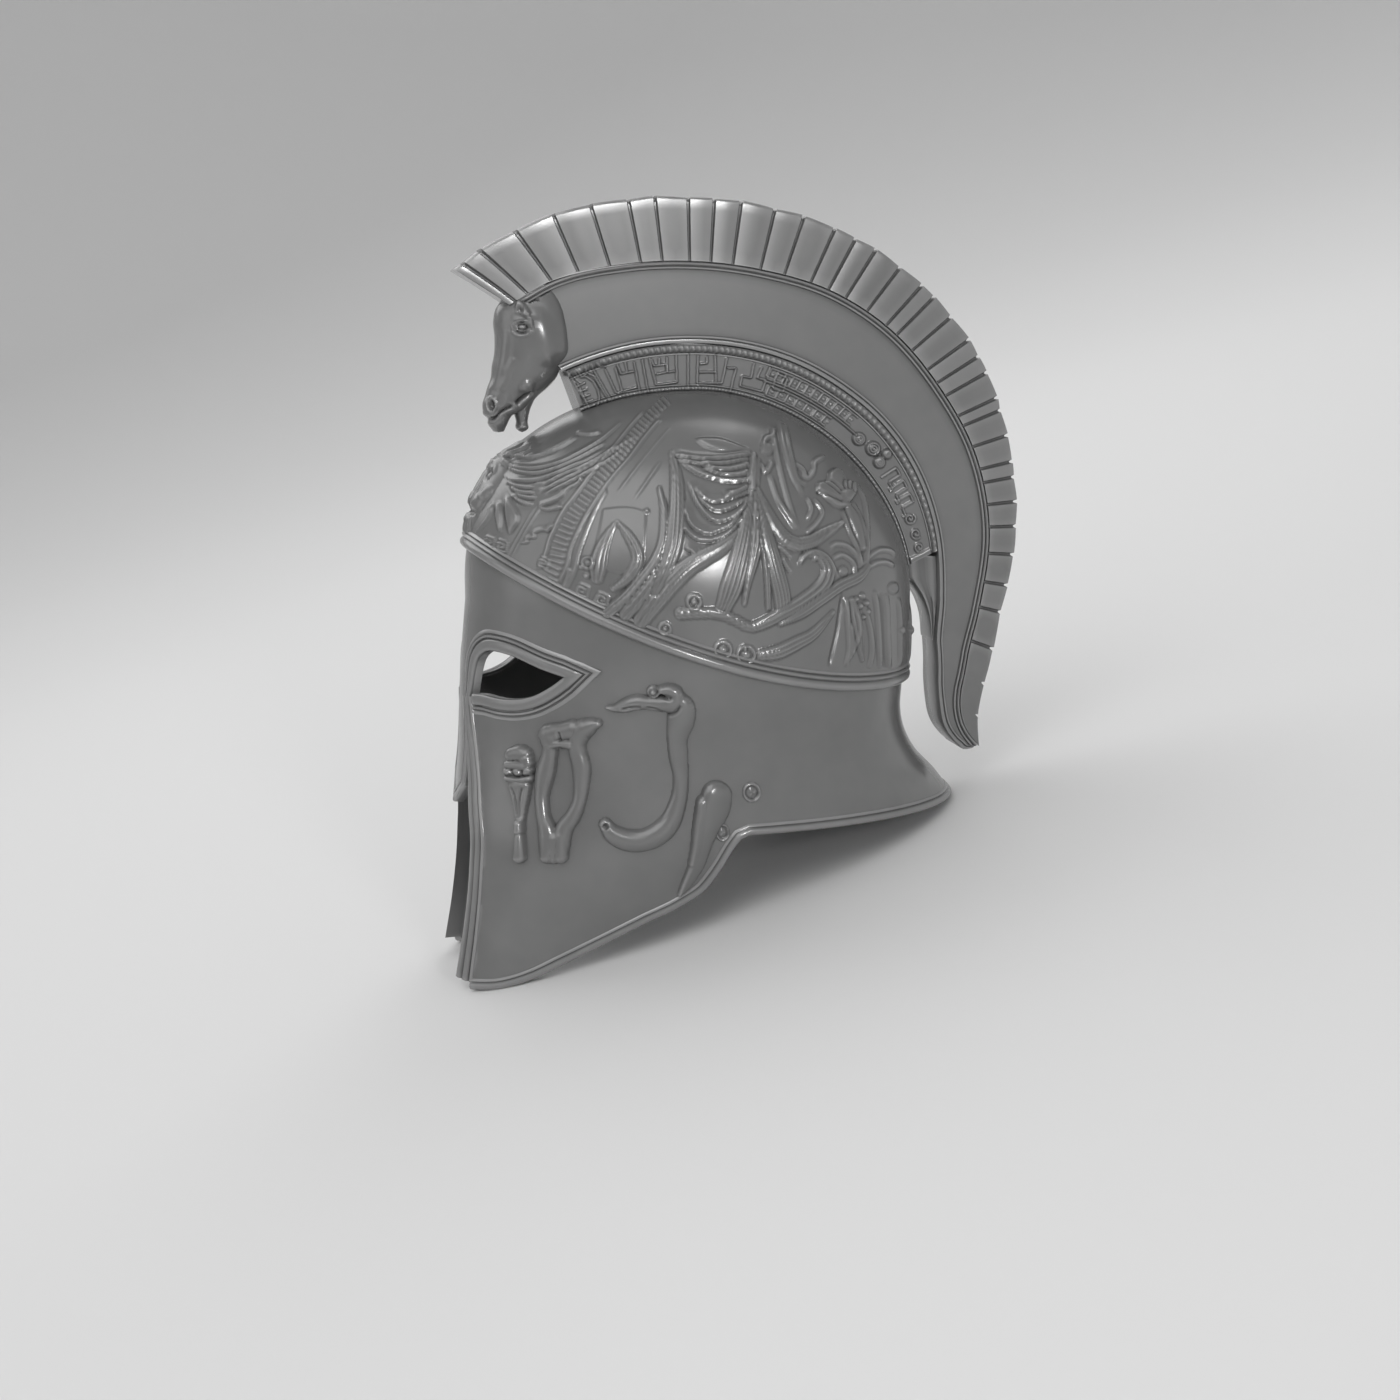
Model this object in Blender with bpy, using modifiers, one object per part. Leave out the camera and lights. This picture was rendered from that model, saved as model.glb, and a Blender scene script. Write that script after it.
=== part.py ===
"""Corinthian helmet with a tall crest, in metres, +Z up.

The pieces are modelled in an upright frame: X to the wearer's left, Y to the back, Z up, with the origin
in the middle of the bowl at its widest level. An empty then leans the whole helmet back until it rests
on its cheek guards and the rear of its neck guard, as the real one does when it is set down.
"""
import bpy
import bmesh
import numpy as np
from math import atan2, cos, degrees, hypot, pi, radians, sin

# Clearance between pieces, and the wall of each sheet
GAP = 0.0003
SHELL_WALL = 0.0042
CAP_WALL = 0.0019

# Bowl, measured from its widest level
BOWL_FRONT = 0.114
BOWL_BACK = 0.1105
BOWL_HALF_WIDTH = 0.088
CROWN_RISE = 0.1015
BROW_RISE = 0.008
NECK_DROP = 0.106
CHEEK_DROP = 0.188

# Cap rim: its height over the widest level at the front and at the back
CAP_RIM_FRONT = 0.029
CAP_RIM_BACK = -0.041

# Front opening
NASAL_HALF_WIDTH = 0.0182
NASAL_TIP_DROP = 0.102
EYE_DROP = 0.0435
EYE_HEIGHT = 0.0235
EYE_CORNER = 0.0665
CHEEK_SLOT = 0.002
CHEEK_EDGE = 0.0435

# Lion mask on the front of the cap
MASK_RISE = 0.0065
MASK_HEIGHT = 0.052
MASK_WIDTH = 0.046
MASK_HALF_TALL = 0.024

# Crest: polar rows about a centre on the mid-plane, above the widest level. Straight above it the holder
# stands on the cap, the smooth crest on the holder and the plume on the crest's ridge.
CREST_CENTRE = 0.030
HOLDER_HEIGHT = 0.0213
CREST_HEIGHT = 0.0393
PLUME_HEIGHT = 0.0308
CREST_THICKNESS = 0.0252
CREST_FACE_INSET = 0.0008
CREST_BORDER = 0.0042
GROOVE_WIDTH = 0.0016
GROOVE_DEPTH = 0.0014
NOTCH_DEPTH = 0.0015

# Crest holder
HOLDER_WIDTH = 0.027
HOLDER_BORDER = 0.0035
HOLDER_BORDER_RISE = 0.0009
SPUR_WIDTH = 0.019

# Horse head: its poll's rise over the front end of the crest's ridge, its reach ahead of it, and its size
HEAD_POLL_RISE = 0.0081
HEAD_REACH = 0.0127
HEAD_LENGTH = 0.0685
HEAD_DEPTH = 0.0405
HEAD_HALF_WIDTH = 0.018

# Relief height of the cheek appliques, and the clearance that they are seated with
FIGURE_RISE = 0.0034
FIGURE_SEAT = 0.0006

# Grid density
HEAD_SIDES = 18
COLUMNS = 24
DOME_ROWS = 9
WALL_ROWS = 12

# Wall sections from the widest level (0) over the neck rim (1) to the cheek tips (2):
# level, front reach / BOWL_FRONT, back reach / BOWL_BACK, half width / BOWL_HALF_WIDTH, front squareness
WALL_ROWS_TABLE = (
    (0.00, 1.000, 1.000, 1.000, 2.00),
    (0.24, 1.022, 1.000, 1.006, 1.92),
    (0.44, 1.035, 0.989, 0.985, 1.90),
    (0.55, 1.038, 0.986, 0.963, 1.94),
    (0.66, 1.042, 1.009, 0.943, 2.02),
    (0.78, 1.050, 1.072, 0.930, 2.16),
    (0.90, 1.062, 1.181, 0.925, 2.34),
    (1.00, 1.068, 1.249, 0.925, 2.48),
    (1.15, 1.070, 1.300, 0.917, 2.62),
    (1.35, 1.074, 1.300, 0.896, 2.70),
    (1.66, 1.104, 1.300, 0.841, 2.70),
    (2.00, 1.160, 1.300, 0.773, 2.70),
)
BACK_SQUARENESS = 2.05
DOME_FRONT_POWER = 2.2
DOME_BACK_POWER = 1.86
DOME_SIDE_POWER = 2.1

# Lower edge of a cheek guard: place / BOWL_FRONT along Y, drop below the neck rim / (CHEEK_DROP - NECK_DROP)
CHEEK_EDGE_TABLE = (
    (-1.043, 0.995),
    (-0.925, 0.960),
    (-0.798, 0.885),
    (-0.675, 0.784),
    (-0.506, 0.651),
    (-0.337, 0.524),
    (-0.167, 0.406),
    (-0.081, 0.321),
    (-0.014, 0.195),
    (0.037, 0.076),
    (0.081, 0.000),
)
NOTCH_PLACE = CHEEK_EDGE_TABLE[-1][0]

# Crest outlines: angle in degrees from straight up towards the back, then plume edge / PLUME_RADIUS,
# ridge line / RIDGE_RADIUS and foot line / CREST_FOOT_RADIUS
CREST_TABLE = (
    (-42, 1.066, 1.090, 1.120),
    (-38, 1.057, 1.078, 1.098),
    (-30, 1.045, 1.066, 1.062),
    (-15, 1.017, 1.022, 1.018),
    (0, 1.000, 1.000, 1.000),
    (15, 1.002, 1.004, 1.010),
    (30, 1.016, 1.034, 1.042),
    (45, 1.031, 1.062, 1.092),
    (60, 1.041, 1.086, 1.166),
    (75, 1.032, 1.126, 1.243),
    (90, 1.027, 1.151, 1.318),
    (105, 1.018, 1.157, 1.398),
    (115, 1.045, 1.184, 1.480),
    (121, 1.082, 1.236, 1.590),
    (125, 1.122, 1.300, 1.690),
    (127.4, 1.152, 1.400, 1.800),
)
CREST_START = -38.7
CREST_TIP_ANGLE = -42.0
CREST_END = 127.4

# Angles of the grooves between the plume's tiles
GROOVE_ANGLES = (
    -34.7, -29.5, -24.0, -17.7, -11.4, -6.9, -1.2, 3.3, 8.0, 14.0, 19.2, 25.0, 29.0, 33.0, 38.2, 43.1, 46.0,
    50.5, 55.5, 58.8, 61.9, 66.6, 68.8, 73.3, 77.9, 80.6, 84.9, 89.2, 94.2, 99.7, 104.6, 111.2, 117.6, 122.5,
)
TAIL_ANGLES = (123.8, 125.0, 126.0, 126.8, CREST_END)

# Holder ends, in the same angles: its foot on the cap and its top under the crest
HOLDER_FOOT_ENDS = (-42.3, 98.5)
HOLDER_TOP_ENDS = (-38.0, 94.0)
HOLDER_STATIONS = 26

# Spur below the holder's end, down the inside of the crest: angle, depth / SPUR_DEPTH
SPUR_DEPTH = 0.017
SPUR_TABLE = (
    (99.2, 1.00),
    (101.0, 0.94),
    (103.0, 0.76),
    (105.0, 0.54),
    (107.5, 0.33),
    (110.5, 0.16),
    (114.0, 0.07),
)

# Horse head from the poll (0) to the chin (1): drop share of HEAD_LENGTH, front and rear edge as
# shares of HEAD_DEPTH, half width share of HEAD_HALF_WIDTH
HEAD_TABLE = (
    (0.00, 0.48, 0.80, 0.30),
    (0.05, 0.33, 0.92, 0.60),
    (0.12, 0.20, 1.02, 0.82),
    (0.22, 0.15, 1.06, 0.95),
    (0.34, 0.16, 1.07, 1.00),
    (0.46, 0.15, 1.05, 0.98),
    (0.54, 0.12, 0.94, 0.92),
    (0.63, 0.10, 0.89, 0.84),
    (0.69, 0.06, 0.79, 0.72),
    (0.75, 0.03, 0.67, 0.60),
    (0.82, 0.00, 0.58, 0.53),
    (0.88, 0.00, 0.55, 0.50),
    (0.905, 0.05, 0.30, 0.46),
    (0.95, 0.06, 0.26, 0.42),
    (1.00, 0.12, 0.23, 0.28),
)
PRONG_TABLE = (
    (0.85, 0.36, 0.55, 0.30),
    (0.93, 0.40, 0.53, 0.26),
    (0.995, 0.43, 0.51, 0.18),
)
HEAD_FRONT_SQUARENESS = 2.0
HEAD_REAR_SQUARENESS = 3.6

# Outline of the head's seat in the crest, about its middle, as shares of HEAD_LENGTH: back and up
HEAD_SEAT_MIDDLE = (0.38, 0.39)
HEAD_SEAT_TABLE = (
    (0.330, -0.200),
    (0.362, -0.070),
    (0.355, 0.060),
    (0.325, 0.185),
    (0.285, 0.280),
    (0.215, 0.340),
    (0.125, 0.325),
    (0.040, 0.275),
    (-0.030, 0.225),
    (-0.080, 0.205),
    (-0.400, 0.205),
    (-0.400, -0.380),
    (0.300, -0.380),
)

# Cheek appliques as strokes: place / BOWL_FRONT along Y, drop / CHEEK_DROP, half width / STROKE_UNIT
STROKE_UNIT = 0.001
VASE_STROKES = (
    ((-0.829, 0.343, 5.2), (-0.830, 0.367, 6.4), (-0.831, 0.400, 6.9), (-0.833, 0.440, 5.4),
     (-0.835, 0.479, 3.8), (-0.839, 0.531, 2.1), (-0.838, 0.550, 2.8), (-0.841, 0.577, 2.4),
     (-0.844, 0.642, 3.2)),
)
LYRE_STROKES = (
    ((-0.709, 0.272, 3.4), (-0.712, 0.300, 4.6), (-0.714, 0.335, 4.4), (-0.722, 0.404, 3.8),
     (-0.740, 0.478, 2.8), (-0.734, 0.527, 2.6), (-0.722, 0.575, 4.0), (-0.714, 0.632, 5.4)),
    ((-0.500, 0.270, 1.6), (-0.545, 0.277, 2.8), (-0.596, 0.302, 3.8), (-0.600, 0.400, 3.4),
     (-0.606, 0.470, 3.0), (-0.640, 0.523, 3.2), (-0.685, 0.580, 4.2), (-0.705, 0.620, 4.6)),
    ((-0.712, 0.318, 3.2), (-0.655, 0.312, 3.0), (-0.600, 0.312, 3.0)),
)
HOOK_STROKES = (
    ((-0.490, 0.223, 1.2), (-0.423, 0.211, 2.8), (-0.339, 0.202, 4.4), (-0.262, 0.190, 4.6),
     (-0.190, 0.206, 6.2), (-0.180, 0.246, 6.4), (-0.200, 0.296, 5.4), (-0.197, 0.367, 4.7),
     (-0.189, 0.435, 4.4), (-0.207, 0.482, 5.0), (-0.259, 0.530, 5.4), (-0.327, 0.559, 5.6),
     (-0.410, 0.566, 5.2), (-0.478, 0.553, 4.2), (-0.508, 0.527, 3.4), (-0.498, 0.507, 2.4)),
)
HORN_STROKES = (
    ((-0.024, 0.415, 4.2), (-0.040, 0.445, 6.4), (-0.062, 0.490, 7.0), (-0.093, 0.540, 6.6),
     (-0.113, 0.598, 5.0), (-0.136, 0.656, 4.0), (-0.170, 0.697, 2.4), (-0.197, 0.720, 1.0)),
)
OVAL_PLACE = (-0.009, 0.557)
OVAL_SIZE = (0.0034, 0.0042)
ROSETTE_PLACE = (0.117, 0.457)
ROSETTE_SIZE = (0.0050, 0.0050)
ROUND_SIDES = 12

GREY_METAL = (0.235, 0.235, 0.235, 1.0)

# Radii of the crest's foot, ridge and plume straight above its centre
CREST_FOOT_RADIUS = CROWN_RISE - CREST_CENTRE + CAP_WALL + 2 * GAP + HOLDER_HEIGHT
RIDGE_RADIUS = CREST_FOOT_RADIUS + CREST_HEIGHT
PLUME_RADIUS = RIDGE_RADIUS + PLUME_HEIGHT


def clear_scene():
    """Remove every object that is already there."""
    for thing in list(bpy.data.objects):
        bpy.data.objects.remove(thing, do_unlink=True)


def smooth_read(rows, column, place):
    """Read a column of a table between its rows, along a smooth curve through them."""
    table = np.array(rows, float)
    at = table[:, 0]
    value = table[:, column]
    slope = np.gradient(value, at)
    place = np.clip(place, at[0], at[-1])
    left = np.clip(np.searchsorted(at, place, side="right") - 1, 0, len(at) - 2)
    span = at[left + 1] - at[left]
    t = (place - at[left]) / span
    start = (2 * t**3 - 3 * t**2 + 1) * value[left] + (t**3 - 2 * t**2 + t) * span * slope[left]
    end = (3 * t**2 - 2 * t**3) * value[left + 1] + (t**3 - t**2) * span * slope[left + 1]
    return start + end


def dome_share(height, base, power):
    """How much of a reach is left at a height between base and the crown."""
    t = min(max((height - base) / (CROWN_RISE - base), 0.0), 1.0)
    return (1 - t**power) ** (1 / power)


def wall_section(height):
    """Front reach, back reach, half width and front squareness of the outer wall at a height."""
    if height > 0:
        return (BOWL_FRONT * dome_share(height, BROW_RISE, DOME_FRONT_POWER),
                BOWL_BACK * dome_share(height, 0.0, DOME_BACK_POWER),
                BOWL_HALF_WIDTH * dome_share(height, 0.0, DOME_SIDE_POWER),
                2.0)
    level = -height / NECK_DROP
    if level > 1:
        level = 1 + (-height - NECK_DROP) / (CHEEK_DROP - NECK_DROP)
    front, back, width, square = (float(smooth_read(WALL_ROWS_TABLE, column, level)) for column in (1, 2, 3, 4))
    return front * BOWL_FRONT, back * BOWL_BACK, width * BOWL_HALF_WIDTH, square


def wall_point(turn, height):
    """A point of the outer wall: turn 0 is the front mid-plane, pi is the back."""
    front, back, width, square = wall_section(height)
    reach, power = (front, square) if turn < pi / 2 else (back, BACK_SQUARENESS)
    side = width * abs(sin(turn)) ** (2 / power)
    along = -reach * np.sign(cos(turn)) * abs(cos(turn)) ** (2 / power)
    return np.array([side, along, height])


def wall_side(along, height, rise=0.0):
    """Half width of the outer wall at a place along Y, or None past its ends; rise moves it outwards."""
    front, back, width, square = wall_section(height)
    reach, power = (front, square) if along < 0 else (back, BACK_SQUARENESS)
    share = abs(along) / (reach + rise)
    if share >= 1:
        return None
    return (width + rise) * (1 - share**power) ** (1 / power)


def wall_normal(turn, height):
    """Outward unit normal of the outer wall."""
    step = 1e-4
    turn = min(max(turn, step), pi - step)
    height = min(height, CROWN_RISE - step)
    across = wall_point(turn + step, height) - wall_point(turn - step, height)
    up = wall_point(turn, height + step) - wall_point(turn, height - step)
    normal = np.cross(across, up)
    length = np.linalg.norm(normal)
    return np.array([0.0, 0.0, 1.0]) if length < 1e-12 else normal / length


def cap_rim_height(along):
    """Height of the cap's rim at a place along Y: it sweeps down from the brow to the back."""
    share = min(max((along + BOWL_FRONT) / (BOWL_FRONT + BOWL_BACK), 0.0), 1.0)
    return CAP_RIM_BACK + (CAP_RIM_FRONT - CAP_RIM_BACK) * (1 - share) ** 2


def lower_edge_height(along):
    """Height of the shell's lower edge: the cheek guard's edge, then the level neck rim."""
    if along >= NOTCH_PLACE * BOWL_FRONT:
        return -NECK_DROP
    drop = float(smooth_read(CHEEK_EDGE_TABLE, 1, along / BOWL_FRONT))
    return -NECK_DROP - max(drop, 0.0) * (CHEEK_DROP - NECK_DROP)


def height_on_column(turn, edge):
    """Height at which a column of the wall meets an edge that is given along Y."""
    height = 0.0
    for _ in range(40):
        height += 0.5 * (edge(wall_point(turn, height)[1]) - height)
    return height


def notch_turn():
    """Turn of the corner between cheek guard and neck guard."""
    share = NOTCH_PLACE * BOWL_FRONT / wall_section(-NECK_DROP)[1]
    return pi / 2 + np.arcsin(share ** (BACK_SQUARENESS / 2))


def column_turns():
    """Turns of the wall's columns, closer at the front, with one on the notch."""
    front = int(COLUMNS * 0.6)
    corner = notch_turn()
    ahead = [corner * (i / front) ** 1.12 for i in range(front)]
    behind = [corner + (pi - corner) * i / (COLUMNS - front) for i in range(COLUMNS - front + 1)]
    return ahead + behind


def mask_lift(point):
    """Rise of the lion mask over the cap."""
    if point[1] > 0:
        return 0.0
    across = point[0] / (MASK_WIDTH / 2)
    up = (point[2] - MASK_HEIGHT) / MASK_HALF_TALL
    return MASK_RISE * max(0.0, 1 - across**2 - up**2) ** 0.7


def link(thing, collection):
    collection.objects.link(thing)
    return thing


def new_mesh_object(name, bm, collection):
    """Turn a bmesh into an object and shade it smooth up to sharp edges."""
    mesh = bpy.data.meshes.new(name)
    bm.normal_update()
    bm.to_mesh(mesh)
    bm.free()
    mesh.shade_smooth()
    mesh.set_sharp_from_angle(angle=radians(40))
    return link(bpy.data.objects.new(name, mesh), collection)


def loft(bm, rings, closed):
    """Join rows of points with quads; closed rows run round to their first point."""
    rows = [[bm.verts.new(point) for point in ring] for ring in rings]
    for low, high in zip(rows, rows[1:]):
        count = len(low) if closed else len(low) - 1
        for i in range(count):
            j = (i + 1) % len(low)
            bm.faces.new((low[i], low[j], high[j], high[i]))
    return rows


def closed_loft(name, rings, collection):
    """A solid through closed rings, with a flat face at each end."""
    bm = bmesh.new()
    rows = loft(bm, rings, True)
    bm.faces.new(list(reversed(rows[0])))
    bm.faces.new(rows[-1])
    bmesh.ops.recalc_face_normals(bm, faces=bm.faces)
    return new_mesh_object(name, bm, collection)


def add_mirror(thing):
    mirror = thing.modifiers.new("Mirror", "MIRROR")
    mirror.use_axis = (True, False, False)
    mirror.use_mirror_merge = True
    mirror.merge_threshold = 0.00005


def add_solidify(thing, thickness, offset):
    wall = thing.modifiers.new("Wall", "SOLIDIFY")
    wall.thickness = thickness
    wall.offset = offset
    wall.use_even_offset = True
    wall.use_quality_normals = True


def add_boolean(thing, other, operation):
    cut = thing.modifiers.new(operation.title(), "BOOLEAN")
    cut.operation = operation
    cut.object = other
    cut.solver = "EXACT"


def as_cutter(thing):
    thing.hide_render = True
    thing.display_type = "WIRE"
    return thing


def flat_prism(name, outline, near, far, axis, collection):
    """A prism of a flat outline between two planes; axis Y takes (x, z) points, axis X takes (y, z)."""
    curve = bpy.data.curves.new(name, "CURVE")
    curve.dimensions = "2D"
    curve.fill_mode = "BOTH"
    curve.extrude = (far - near) / 2
    spline = curve.splines.new("POLY")
    spline.points.add(len(outline) - 1)
    for point, (across, up) in zip(spline.points, outline):
        point.co = (across, up, 0.0, 1.0)
    spline.use_cyclic_u = True
    guide = link(bpy.data.objects.new(name + "_outline", curve), collection)
    middle = (near + far) / 2
    if axis == "Y":
        guide.rotation_euler = (pi / 2, 0, 0)
        guide.location = (0, middle, 0)
    else:
        guide.rotation_euler = (pi / 2, 0, pi / 2)
        guide.location = (middle, 0, 0)
    bpy.context.view_layer.update()
    mesh = bpy.data.meshes.new_from_object(guide.evaluated_get(bpy.context.evaluated_depsgraph_get()))
    bm = bmesh.new()
    bm.from_mesh(mesh)
    bmesh.ops.remove_doubles(bm, verts=bm.verts, dist=1e-6)
    bmesh.ops.recalc_face_normals(bm, faces=bm.faces)
    bm.to_mesh(mesh)
    bm.free()
    solid = link(bpy.data.objects.new(name, mesh), collection)
    solid.matrix_world = guide.matrix_world
    bpy.data.objects.remove(guide, do_unlink=True)
    return solid


def dome_heights(turn):
    """Heights of the dome's rows on one column, from the cap's rim to the crown."""
    rim = height_on_column(turn, cap_rim_height)
    return [rim + (CROWN_RISE - rim) * sin(pi / 2 * row / DOME_ROWS) for row in range(DOME_ROWS + 1)]


def wall_heights(turn):
    """Heights of the wall's rows on one column, from the lower edge up to the cap's rim."""
    low = height_on_column(turn, lower_edge_height)
    rim = height_on_column(turn, cap_rim_height)
    return [low + (rim - low) * row / WALL_ROWS for row in range(WALL_ROWS)]


def merged(bm):
    bmesh.ops.remove_doubles(bm, verts=bm.verts, dist=1e-6)
    bmesh.ops.recalc_face_normals(bm, faces=bm.faces)


def front_outline():
    """Half outline, as (x, z), of the opening between the cheek guards with the eye: mid-plane to mid-plane."""
    tip = -CHEEK_DROP
    slot = NASAL_HALF_WIDTH + CHEEK_SLOT
    lid = -EYE_DROP + EYE_HEIGHT
    return [
        (0.0, 1.16 * tip),
        (0.93 * CHEEK_EDGE, 1.16 * tip),
        (0.93 * CHEEK_EDGE, tip),
        (0.95 * CHEEK_EDGE, tip * 0.853),
        (0.99 * CHEEK_EDGE, tip * 0.73),
        (1.00 * CHEEK_EDGE, tip * 0.60),
        (0.86 * CHEEK_EDGE, tip * 0.50),
        (0.68 * CHEEK_EDGE, tip * 0.40),
        (0.54 * CHEEK_EDGE, tip * 0.315),
        (slot + 0.0006, -EYE_DROP - 0.0050),
        (slot, -EYE_DROP - 0.0015),
        (slot + 0.003, -EYE_DROP),
        (0.45 * EYE_CORNER, -EYE_DROP + 0.0008),
        (0.62 * EYE_CORNER, -EYE_DROP + 0.0004),
        (0.74 * EYE_CORNER, -EYE_DROP + 0.04 * EYE_HEIGHT),
        (0.84 * EYE_CORNER, -EYE_DROP + 0.16 * EYE_HEIGHT),
        (0.93 * EYE_CORNER, -EYE_DROP + 0.38 * EYE_HEIGHT),
        (EYE_CORNER, -EYE_DROP + 0.62 * EYE_HEIGHT),
        (0.90 * EYE_CORNER, -EYE_DROP + 0.73 * EYE_HEIGHT),
        (0.72 * EYE_CORNER, lid - 0.05 * EYE_HEIGHT),
        (0.54 * EYE_CORNER, lid),
        (0.43 * EYE_CORNER, lid - 0.10 * EYE_HEIGHT),
        (0.36 * EYE_CORNER, lid - 0.30 * EYE_HEIGHT),
        (0.31 * EYE_CORNER, -EYE_DROP + 0.30 * EYE_HEIGHT),
        (NASAL_HALF_WIDTH + 0.0006, -EYE_DROP),
        (NASAL_HALF_WIDTH, -EYE_DROP - 0.004),
        (NASAL_HALF_WIDTH, -0.60 * NASAL_TIP_DROP),
        (1.08 * NASAL_HALF_WIDTH, -0.79 * NASAL_TIP_DROP),
        (1.09 * NASAL_HALF_WIDTH, -0.88 * NASAL_TIP_DROP),
        (0.0, -NASAL_TIP_DROP),
    ]


def build_shell(collection, cutters):
    """The one-piece helmet: a loft through its sections, given its wall, then cut open at the front."""
    bm = bmesh.new()
    columns = []
    for turn in column_turns():
        heights = wall_heights(turn) + dome_heights(turn)
        columns.append([wall_point(turn, height) for height in heights])
    for column in (columns[0], columns[-1]):
        for point in column:
            point[0] = 0.0
    loft(bm, columns, False)
    merged(bm)
    shell = new_mesh_object("shell", bm, collection)
    add_mirror(shell)
    add_solidify(shell, SHELL_WALL, -1)
    half = front_outline()
    outline = half + [(-x, z) for x, z in reversed(half) if x > 0]
    opening = flat_prism("face_opening", outline, -1.5 * BOWL_FRONT, -0.5 * BOWL_FRONT, "Y", cutters)
    add_boolean(shell, as_cutter(opening), "DIFFERENCE")
    return shell


def build_cap(collection):
    """The embossed plate over the bowl, parallel to it, with the lion mask pushed out at the front."""
    bm = bmesh.new()
    columns = []
    for turn in column_turns():
        column = []
        for height in dome_heights(turn):
            point = wall_point(turn, height)
            column.append(point + wall_normal(turn, height) * (GAP + mask_lift(point)))
        columns.append(column)
    for column in (columns[0], columns[-1]):
        for point in column:
            point[0] = 0.0
    loft(bm, columns, False)
    bmesh.ops.remove_doubles(bm, verts=bm.verts, dist=1e-5)
    bmesh.ops.recalc_face_normals(bm, faces=bm.faces)
    cap = new_mesh_object("skull_cap", bm, collection)
    add_mirror(cap)
    add_solidify(cap, CAP_WALL, 1)
    return cap


def crest_point(angle, radius, side):
    """A point in the crest's polar frame; angle in degrees from straight up towards the back."""
    return (side, radius * sin(radians(angle)), CREST_CENTRE + radius * cos(radians(angle)))


def crest_radius(column, size, angle):
    return size * float(smooth_read(CREST_TABLE, column, angle))


def plume_edge(angle):
    return crest_radius(1, PLUME_RADIUS, angle)


def ridge_line(angle):
    return crest_radius(2, RIDGE_RADIUS, angle)


def foot_line(angle):
    return crest_radius(3, CREST_FOOT_RADIUS, angle)


def crest_section(angle):
    """One closed section of the fin: its faces lie a little below the borders of its two edges."""
    high = ridge_line(angle) - GAP
    low = foot_line(angle)
    border = min(CREST_BORDER, 0.3 * (high - low))
    edge = CREST_THICKNESS / 2
    face = edge - CREST_FACE_INSET
    half = [(low, edge), (low + border, edge), (low + border, face), (high - border, face),
            (high - border, edge), (high, edge)]
    right = [crest_point(angle, radius, side) for radius, side in half]
    left = [crest_point(angle, radius, -side) for radius, side in reversed(half)]
    return right + left


def build_crest(collection, cutters):
    """The smooth fin, with its borders, cut at the front to seat the horse head."""
    rings = [crest_section(angle) for angle in (CREST_START, *GROOVE_ANGLES, *TAIL_ANGLES)]
    crest = closed_loft("crest", rings, collection)
    seat = head_seat("crest_seat", GAP, cutters)
    add_boolean(crest, as_cutter(seat), "DIFFERENCE")
    return crest


def head_place(across, drop):
    """Place of a share of the head's depth and length, as (y, z)."""
    _, ridge_y, ridge_z = crest_point(CREST_START, ridge_line(CREST_START), 0.0)
    return ridge_y - HEAD_REACH + across * HEAD_DEPTH, ridge_z + HEAD_POLL_RISE - drop * HEAD_LENGTH


def head_seat(name, extra, collection):
    """A prism of the head's seat, grown by extra."""
    back, up = head_place(HEAD_SEAT_MIDDLE[0], HEAD_SEAT_MIDDLE[1])
    outline = []
    for y_share, z_share in HEAD_SEAT_TABLE:
        y, z = y_share * HEAD_LENGTH, z_share * HEAD_LENGTH
        grow = 1 + extra / hypot(y, z)
        outline.append((back + y * grow, up + z * grow))
    return flat_prism(name, outline, -2 * HEAD_HALF_WIDTH, 2 * HEAD_HALF_WIDTH, "X", collection)


def head_ring(row):
    """One level section of the horse head, rounder in front than behind."""
    drop, front, rear, width = row
    y_front, z = head_place(front, drop)
    y_rear, _ = head_place(rear, drop)
    middle, half = (y_front + y_rear) / 2, (y_rear - y_front) / 2
    ring = []
    for i in range(HEAD_SIDES):
        turn = 2 * pi * i / HEAD_SIDES
        power = HEAD_FRONT_SQUARENESS if cos(turn) > 0 else HEAD_REAR_SQUARENESS
        x = width * HEAD_HALF_WIDTH * np.sign(sin(turn)) * abs(sin(turn)) ** (2 / power)
        y = middle - half * np.sign(cos(turn)) * abs(cos(turn)) ** (2 / power)
        ring.append((x, y, z))
    return ring


def build_head(collection, cutters):
    """The horse head: level sections from poll to chin, the jaw's prong, and a back that fits its seat."""
    head = closed_loft("horse_head", [head_ring(row) for row in HEAD_TABLE], collection)
    prong = closed_loft("head_prong", [head_ring(row) for row in PRONG_TABLE], cutters)
    add_boolean(head, as_cutter(prong), "UNION")
    start = CREST_START - degrees(GAP / CREST_FOOT_RADIUS)
    lean = CREST_TIP_ANGLE - CREST_START
    zone_outline = [crest_point(angle, radius, 0.0)[1:] for angle, radius in (
        (start, 0.9 * CREST_FOOT_RADIUS), (start, ridge_line(start)), (start + lean, plume_edge(start)),
        (start + 25, 1.4 * RIDGE_RADIUS), (start + 25, 0.9 * CREST_FOOT_RADIUS))]
    zone = flat_prism("crest_zone", zone_outline, -1.8 * HEAD_HALF_WIDTH, 1.8 * HEAD_HALF_WIDTH, "X", cutters)
    add_boolean(zone, as_cutter(head_seat("head_back", 0.0, cutters)), "DIFFERENCE")
    add_boolean(head, as_cutter(zone), "DIFFERENCE")
    return head


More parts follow.
